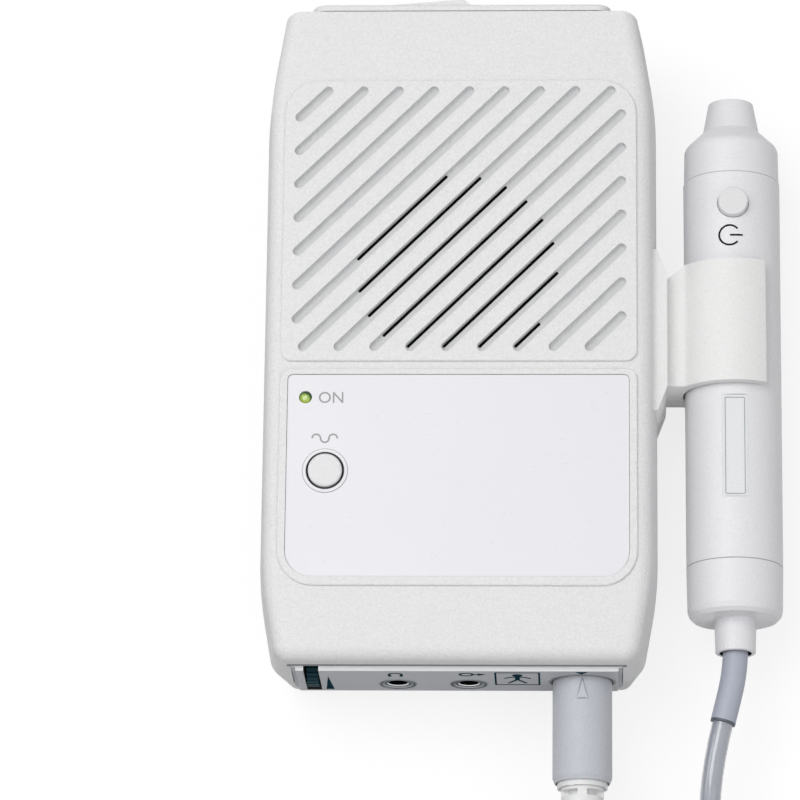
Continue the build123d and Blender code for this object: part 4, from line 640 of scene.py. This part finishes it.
# End panel: bluish grey moulding let into the lower end, printed in dark teal with the usual signs:
# a volume wedge, headphones, an output arrow, a patient connection and the mark a plug lines up with.
panel_plastic = finish("panel_plastic", moulded_skin, 0.10,
                       {"Colour": (0.50, 0.515, 0.545), "Roughness": 0.5, "Grain": 1900, "Clouds": 0.04,
                        "Scuffs": 0.1})
panel_tree = panel_plastic.node_tree
panel_x, panel_y, panel_z = three_ways(panel_tree)
wheel_middle = middle_of("volume_wheel")
slot_left, slot_right = wheel_middle.x - 1.45, wheel_middle.x + 1.5
# Painted shade: the walls inside the wheel's slot are painted near black.
slot_shade = maths(panel_tree, "MULTIPLY", between(panel_tree, panel_x, slot_left, slot_right, 0.02),
                    spread(panel_tree, panel_y, panel_face + 0.05, panel_face + 0.1, 0, 1))
paint_over(panel_plastic, slot_shade, (0.01, 0.011, 0.012))
# Painted highlight: the panel's top edge and its round are painted light.
panel_brow_highlight = spread(panel_tree, panel_z, panel_edge_height - 0.2, panel_edge_height - 0.05, 0, 1)
paint_over(panel_plastic, panel_brow_highlight, (0.86, 0.87, 0.89))
wear(panel_plastic, "end_panel")
teal_ink = finish("teal_ink", moulded_skin, 0.002,
                  {"Colour": (0.016, 0.055, 0.080), "Roughness": 0.4, "Grain": 4000, "Clouds": 0.2},
                  specular_ior_level=0.0)


def printed_on_panel(name, form, x, z, width_scale=1, height_scale=1):
    """Sign in dark ink on the end panel, drawn about a place given by its X and its height."""
    upright = Matrix(((1, 0, 0, x), (0, 0, -1, panel_face), (0, 1, 0, z), (0, 0, 0, 1)))
    place = upright @ Matrix.Diagonal((width_scale, height_scale, 1, 1))
    printed(name, form, place, "unit", teal_ink)


wedge = bmesh.new()
blot(wedge, (0, 0), 1, 3)
printed_on_panel("volume_wedge", wedge, wheel_middle.x + 3.04, wheel_middle.z - 1.27, 0.87, 6.87)

headphones = bmesh.new()
bow(headphones, (0, 0), 1.1, 0.42, -10, 200, 1.1)
for side in (-1, 1):
    bar(headphones, (side * 1.1, -0.3), (side * 1.1, -1.5), 0.62)
phones_middle = middle_of("phones_jack_bush")
printed_on_panel("headphone_sign", headphones, phones_middle.x - 0.25, phones_middle.z + 7.6)

output = bmesh.new()
bow(output, (0, 0), 1.05, 0.42, 0, 360, 1.15)
bar(output, (1.15, 0), (2.45, 0), 0.42)
blot(output, (2.65, 0), 0.95, 3, -90)
record_middle = middle_of("record_jack_bush")
printed_on_panel("output_sign", output, record_middle.x - 0.35, record_middle.z + 7.8)

patient = bmesh.new()
patient_x, patient_z = 11.37, 20.8
for side in (-1, 1):
    bar(patient, (-4.31, side * 4.72), (4.31, side * 4.72), 0.36)
    bar(patient, (side * 4.13, -4.9), (side * 4.13, 4.9), 0.36)
blot(patient, (0, 2.6), 1.0)
for side in (-1, 1):
    bar(patient, (0, 1.4), (side * 1.5, 1.1), 0.45)
    bar(patient, (side * 1.4, 1.2), (side * 2.5, 0.2), 0.42)
    bar(patient, (0, -0.6), (side * 1.7, -3.4), 0.5)
bar(patient, (0, 1.7), (0, -0.8), 0.9)
printed_on_panel("patient_sign", patient, patient_x, patient_z)

plug_mark = bmesh.new()
blot(plug_mark, (0, 0), 1, 3, 180)
plug_x, plug_z = 23.65, 18
printed_on_panel("plug_mark", plug_mark, plug_x - 0.15, plug_z + 7.65, 1.35, 1.25)

# Volume wheel: a ribbed disc moulded in dark teal that shows through its slot, held on its spindle by a
# screw. The thumb that turns it leaves scuffs.
wheel_plastic = finish("wheel_plastic", moulded_skin, 0.01,
                       {"Colour": (0.005, 0.040, 0.054), "Roughness": 0.5, "Grain": 2200, "Clouds": 0.2,
                        "Scuffs": 0.4},
                       specular_ior_level=0.12)
wear(wheel_plastic, "volume_wheel")

# Jack rings: nickel-plated brass, turned with a shallow dish, screwed on from outside over the two
# 3.5 mm jacks, whose bodies are black plastic.
for jack_name in ("phones", "record"):
    jack_middle = middle_of(jack_name + "_jack_bush")
    nickel = finish(jack_name + "_nickel", turned_metal, 0.006,
                    {"Colour": (0.36, 0.375, 0.39), "Roughness": 0.34, "Centre": jack_middle * mm},
                    metallic=1.0, specular_tint=(0.30, 0.31, 0.32, 1))
    nickel_tree = nickel.node_tree
    ring_x, _, ring_z = three_ways(nickel_tree)
    ring_reach = reach_from(nickel_tree, ring_x, ring_z, (jack_middle.x, jack_middle.z))
    # Painted shade: two dark lines at the steps of the ring's dish.
    for line_inside, line_outside, shade_line_colour in ((3.10, 3.30, (0.05, 0.055, 0.06)),
                                                   (2.22, 2.40, (0.06, 0.065, 0.07))):
        paint_over(nickel, between(nickel_tree, ring_reach, line_inside, line_outside, 0.04), shade_line_colour)
    # Painted highlight: a bright crescent on the lip below the bore.
    bore_lip_highlight = maths(nickel_tree, "MULTIPLY", between(nickel_tree, ring_reach, 1.84, 2.08, 0.03),
                spread(nickel_tree, ring_z, jack_middle.z - 0.6, jack_middle.z + 0.2, 1, 0))
    paint_over(nickel, bore_lip_highlight, (0.92, 0.93, 0.94))
    # Painted shade: the bore inside the lip is painted black.
    paint_over(nickel, spread(nickel_tree, ring_reach, 1.81, 1.83, 1, 0), (0.01, 0.01, 0.01))
    wear(nickel, jack_name + "_jack_bush")
black_plastic = finish("black_plastic", moulded_skin, 0.02,
                       {"Colour": (0.014, 0.014, 0.015), "Roughness": 0.5, "Grain": 2000, "Clouds": 0.2,
                        "Scuffs": 0.2},
                       specular_ior_level=0.15)
wear(black_plastic, "phones_jack", "record_jack", "battery_snap", "cord_clamp", "cal_switch",
     "probe_switch")

# Probe socket: a grey moulded ring held by a nut from inside the case, round an insert of the same
# plastic. Six turned contacts, plated with gold, are pressed into the insert.
socket_plastic = finish("socket_plastic", moulded_skin, 0.015,
                        {"Colour": (0.42, 0.44, 0.48), "Roughness": 0.4, "Grain": 1800, "Clouds": 0.05,
                         "Scuffs": 0.1})
socket_tree = socket_plastic.node_tree
socket_x, _, socket_z = three_ways(socket_tree)
socket_middle = middle_of("probe_socket")
socket_reach = reach_from(socket_tree, socket_x, socket_z, (socket_middle.x, socket_middle.z))
# Painted shade: the socket's bore round the plug is painted near black.
paint_over(socket_plastic, between(socket_tree, socket_reach, 5.2, 6.17, 0.02), (0.02, 0.022, 0.026))
wear(socket_plastic, "probe_socket", "socket_nut", "socket_insert")
gold_plate = finish("gold_plate", turned_metal, 0.004,
                    {"Colour": (0.82, 0.58, 0.24), "Roughness": 0.25, "Centre": socket_middle * mm},
                    metallic=1.0)
wear(gold_plate, "socket_contacts", "plug_pins")

# Plug on the cord: a grey latch sleeve over a core, a collet nut behind it and a white bend relief
# of soft plastic rings. An arrow outline is moulded on the sleeve's upper side; its raised lines are
# coloured darker, painted shade along their edges.
plug_plastic = finish("plug_plastic", moulded_skin, 0.12,
                      {"Colour": (0.56, 0.575, 0.625), "Roughness": 0.42, "Grain": 2500, "Clouds": 0.04,
                       "Scuffs": 0.12})
wear(plug_plastic, "plug_sleeve", "plug_core")
relief_plastic = finish("relief_plastic", moulded_skin, 0.015,
                        {"Colour": (0.83, 0.83, 0.83), "Roughness": 0.4, "Grain": 1500, "Clouds": 0.04,
                         "Scuffs": 0.1},
                        subsurface_weight=0.1, subsurface_scale=0.002)
wear(relief_plastic, "bend_relief", "collet_nut")
sleeve_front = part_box("plug_sleeve")[1][1] / mm
sleeve_radius, arrow_line, arrow_length = 5.65, 0.13, 3.9
sleeve_mark = bmesh.new()
bar(sleeve_mark, (-1.05, 0), (1.05, 0), arrow_line)
for side in (-1, 1):
    bar(sleeve_mark, (side * 1.0, 0), (0, arrow_length), arrow_line)
# Painted shade: the arrow's raised lines are darker than the sleeve.
arrow_edge_shade = finish("arrow_edge_shade", moulded_skin, 0.02,
                    {"Colour": (0.30, 0.31, 0.35), "Roughness": 0.5, "Grain": 1700, "Clouds": 0.04},
                    specular_ior_level=0.2)
arrow_place = Matrix.Translation((plug_x, sleeve_front - 6.45, 0.16))
printed("sleeve_arrow", sleeve_mark, arrow_place, "latch_sleeve", arrow_edge_shade, 0.09,
        (plug_x, plug_z, sleeve_radius))

# Holder: one white moulding, fixed to the side of the case by two screws through its pad. Its clip
# springs round the barrel of the probe.
holder_plastic = finish("holder_plastic", moulded_skin, 0.11,
                        {"Colour": (0.85, 0.85, 0.845), "Roughness": 0.42, "Grain": 2300, "Clouds": 0.04,
                         "Scuffs": 0.15})
wear(holder_plastic, "probe_holder")

# Probe: three turned-looking mouldings in satin white that plug into each other, with a cast lens at
# the tip. The power sign is printed beside its button, and the label below it is left bare.
probe_plastic = finish("probe_plastic", moulded_skin, 0.10,
                       {"Colour": (0.84, 0.84, 0.865), "Roughness": 0.36, "Grain": 2500, "Clouds": 0.03,
                        "Scuffs": 0.12})
probe_tree = probe_plastic.node_tree
probe_across, probe_along, probe_up = three_ways(probe_tree)
barrel_middle = middle_of("probe_barrel")
barrel_low, barrel_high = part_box("probe_barrel")
nose_joint, cap_joint = barrel_high[1] / mm, barrel_low[1] / mm
probe_joints = maths(probe_tree, "MAXIMUM",
                     between(probe_tree, probe_along, nose_joint - 0.07, nose_joint + 0.07, 0.04),
                     between(probe_tree, probe_along, cap_joint - 0.07, cap_joint + 0.05, 0.04))
paint_over(probe_plastic, probe_joints, (0.42, 0.42, 0.43))
probe_button = middle_of("probe_button")
# Painted shade: the hole round the probe's button is painted near black.
button_hole_radius = 3.06
paint_over(probe_plastic, round_place(probe_tree, probe_button, button_hole_radius), (0.10, 0.10, 0.11))
neck_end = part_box("probe_end_cap")[0][1] / mm
neck_bore_radius = 3.1
neck_reach = reach_from(probe_tree, probe_across, probe_up, (barrel_middle.x, barrel_middle.z))
# Painted shade: the bore of the end cap's neck is painted dark round the sleeve.
neck_bore_shade = maths(probe_tree, "MULTIPLY",
                  spread(probe_tree, neck_reach, neck_bore_radius - 0.03, neck_bore_radius, 1, 0),
                  spread(probe_tree, probe_along, neck_end + 5.25, neck_end + 6.25, 1, 0))
paint_over(probe_plastic, neck_bore_shade, (0.05, 0.055, 0.07))
wear(probe_plastic, "probe_nose", "probe_barrel", "probe_end_cap")
lens_resin = finish("lens_resin", moulded_skin, 0.002,
                    {"Colour": (0.70, 0.68, 0.60), "Roughness": 0.2, "Grain": 1500, "Clouds": 0.1,
                     "Scuffs": 0.2},
                    coat_weight=0.4, coat_roughness=0.1)
wear(lens_resin, "probe_lens", "crystal_backing")
label_film = finish("label_film", moulded_skin, 0.002,
                    {"Colour": (0.80, 0.81, 0.83), "Roughness": 0.3, "Grain": 2500, "Clouds": 0.03,
                     "Scuffs": 0.1})
wear(label_film, "probe_label", "rating_label")
black_ink = finish("black_ink", moulded_skin, 0.002,
                   {"Colour": (0.02, 0.021, 0.024), "Roughness": 0.4, "Grain": 4000, "Clouds": 0.2},
                   specular_ior_level=0.0)
barrel_radius = barrel_high[2] / mm - barrel_middle.z
power_sign = bmesh.new()
bow(power_sign, (0, 0), 2.0, 0.36, 40, 280)
bar(power_sign, (0.06, 0), (2.56, 0), 0.36)
power_place = Matrix.Translation((probe_button.x - 0.71, probe_button.y - 6.6, 0))
printed("power_sign", power_sign, power_place, "probe", black_ink,
        drape=(barrel_middle.x, barrel_middle.z, barrel_radius - ink_height / 2))

label_low, label_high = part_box("probe_label")
label_middle = middle_of("probe_label")
frame_inset, frame_round, frame_width = 0.45, 0.2, 0.16
frame_half_x = (label_high[0] - label_low[0]) / 2 / mm - frame_inset
frame_half_y = (label_high[1] - label_low[1]) / 2 / mm - frame_inset
straight_x, straight_y = frame_half_x - frame_round, frame_half_y - frame_round
label_frame = bmesh.new()
for side in (-1, 1):
    bar(label_frame, (side * frame_half_x, -straight_y), (side * frame_half_x, straight_y), frame_width)
    bar(label_frame, (-straight_x, side * frame_half_y), (straight_x, side * frame_half_y), frame_width)
for side_x, side_y, corner_start in ((-1, -1, 180), (1, -1, 270), (1, 1, 0), (-1, 1, 90)):
    bow(label_frame, (side_x * straight_x, side_y * straight_y), frame_round, frame_width, corner_start, 90)
label_place = Matrix.Translation((label_middle.x, label_middle.y, label_high[2] / mm))
printed("label_frame", label_frame, label_place, "probe", grey_ink)

# Cord sleeve: bluish grey rubber, pushed over the cord where it leaves the probe's end cap. The bore
# at its end is painted dark round the cord, painted shade.
sleeve_rubber = finish("sleeve_rubber", moulded_skin, 0.02,
                       {"Colour": (0.44, 0.465, 0.545), "Roughness": 0.48, "Grain": 1800, "Clouds": 0.06,
                        "Scuffs": 0.1})
sleeve_tree = sleeve_rubber.node_tree
sleeve_x, sleeve_y, sleeve_z = three_ways(sleeve_tree)
exit_reach = reach_from(sleeve_tree, sleeve_x, sleeve_y, cord_exit[:2])
exit_reach = reach_from(sleeve_tree, exit_reach, sleeve_z, (0, cord_exit[2]))
sleeve_bore_reach = 2.46
# Painted shade: the sleeve's bore is painted dark round the cord.
sleeve_bore_shade = spread(sleeve_tree, exit_reach, sleeve_bore_reach - 0.03, sleeve_bore_reach, 1, 0)
paint_over(sleeve_rubber, sleeve_bore_shade, (0.08, 0.10, 0.12))
wear(sleeve_rubber, "cord_sleeve")

# Crystals inside the probe's tip: two half discs of silvered piezo ceramic, glued side by side behind
# the lens.
ceramic = finish("ceramic", paper_pulp, 0.01,
                 {"Colour": (0.62, 0.58, 0.42), "Roughness": 0.35, "Fibres": 2400}, metallic=0.5)
wear(ceramic, "crystal_pair")

# Circuit boards: green glass-cloth laminate with traces under the lacquer. The large one is screwed
# down in the case, and the small one lies in the probe behind its button.
laminate, laminate_in, laminate_out = skin_group("laminate", [
    ("Colour", "NodeSocketColor", (0.01, 0.12, 0.04, 1)),
    ("Trace", "NodeSocketColor", (0.05, 0.28, 0.08, 1)),
    ("Roughness", "NodeSocketFloat", 0.3),
])
board_x, board_y, _ = three_ways(laminate)
lanes_in_mm, pieces_in_mm = 0.56, 0.13
trace_lines = []
for along, across in ((board_x, board_y), (board_y, board_x)):
    lane = maths(laminate, "FRACT", maths(laminate, "MULTIPLY", across, lanes_in_mm))
    piece_place = laminate.nodes.new("ShaderNodeCombineXYZ")
    for label, coordinate, count in (("X", across, lanes_in_mm), ("Y", along, pieces_in_mm)):
        cell = maths(laminate, "FLOOR", maths(laminate, "MULTIPLY", coordinate, count))
        laminate.links.new(cell, piece_place.inputs[label])
    choice = laminate.nodes.new("ShaderNodeTexWhiteNoise")
    laminate.links.new(piece_place.outputs[0], choice.inputs["Vector"])
    here = spread(laminate, choice.outputs["Value"], 0.55, 0.56, 0, 1)
    trace_lines.append(maths(laminate, "MULTIPLY", here, maths(laminate, "LESS_THAN", lane, 0.34)))
traces = maths(laminate, "MAXIMUM", trace_lines[0], trace_lines[1])
glass_cloth = noise(laminate, object_places(laminate), 1400, 3)
laminate_tone = spread(laminate, glass_cloth, 0.3, 0.7, 0.85, 1.15)
board_colour = tint(laminate, traces, laminate_in.outputs["Colour"], laminate_in.outputs["Trace"])
put_out(laminate, laminate_out, shade(laminate, board_colour, laminate_tone),
        laminate_in.outputs["Roughness"], traces)
board_laminate = finish("board_laminate", laminate, 0.03, {"Roughness": 0.3},
                        coat_weight=0.3, coat_roughness=0.1)
wear(board_laminate, "main_board", "probe_board")

# Volume control with its spindle, and all the screws: steel plated with zinc. The control sits behind
# the panel, and its spindle carries the wheel.
zinc_plate = finish("zinc_plate", turned_metal, 0.004,
                    {"Colour": (0.58, 0.59, 0.60), "Roughness": 0.34, "Across": (1, 1, 0), "Rings": 5000},
                    metallic=1.0)
wear(zinc_plate, "volume_pot", "wheel_spindle", "wheel_screw", "board_screws", "holder_screws",
     "case_screws")

# Battery: a plain nine-volt block in a dark lacquered steel jacket with a bare pale band. It lies
# across the top end of the case, behind the cover that slides.
battery_metal = finish("battery_metal", moulded_skin, 0.006,
                       {"Colour": (0.045, 0.047, 0.052), "Roughness": 0.3, "Grain": 1500, "Clouds": 0.1,
                        "Scuffs": 0.3},
                       metallic=0.5, coat_weight=0.5, coat_roughness=0.15)
battery_tree = battery_metal.node_tree
battery_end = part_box("battery")[1][0] / mm
band_start, band_end = battery_end - 15, battery_end - 8.5
band = between(battery_tree, three_ways(battery_tree)[0], band_start, band_end, 0.03)
paint_over(battery_metal, band, (0.55, 0.56, 0.58))
wear(battery_metal, "battery")
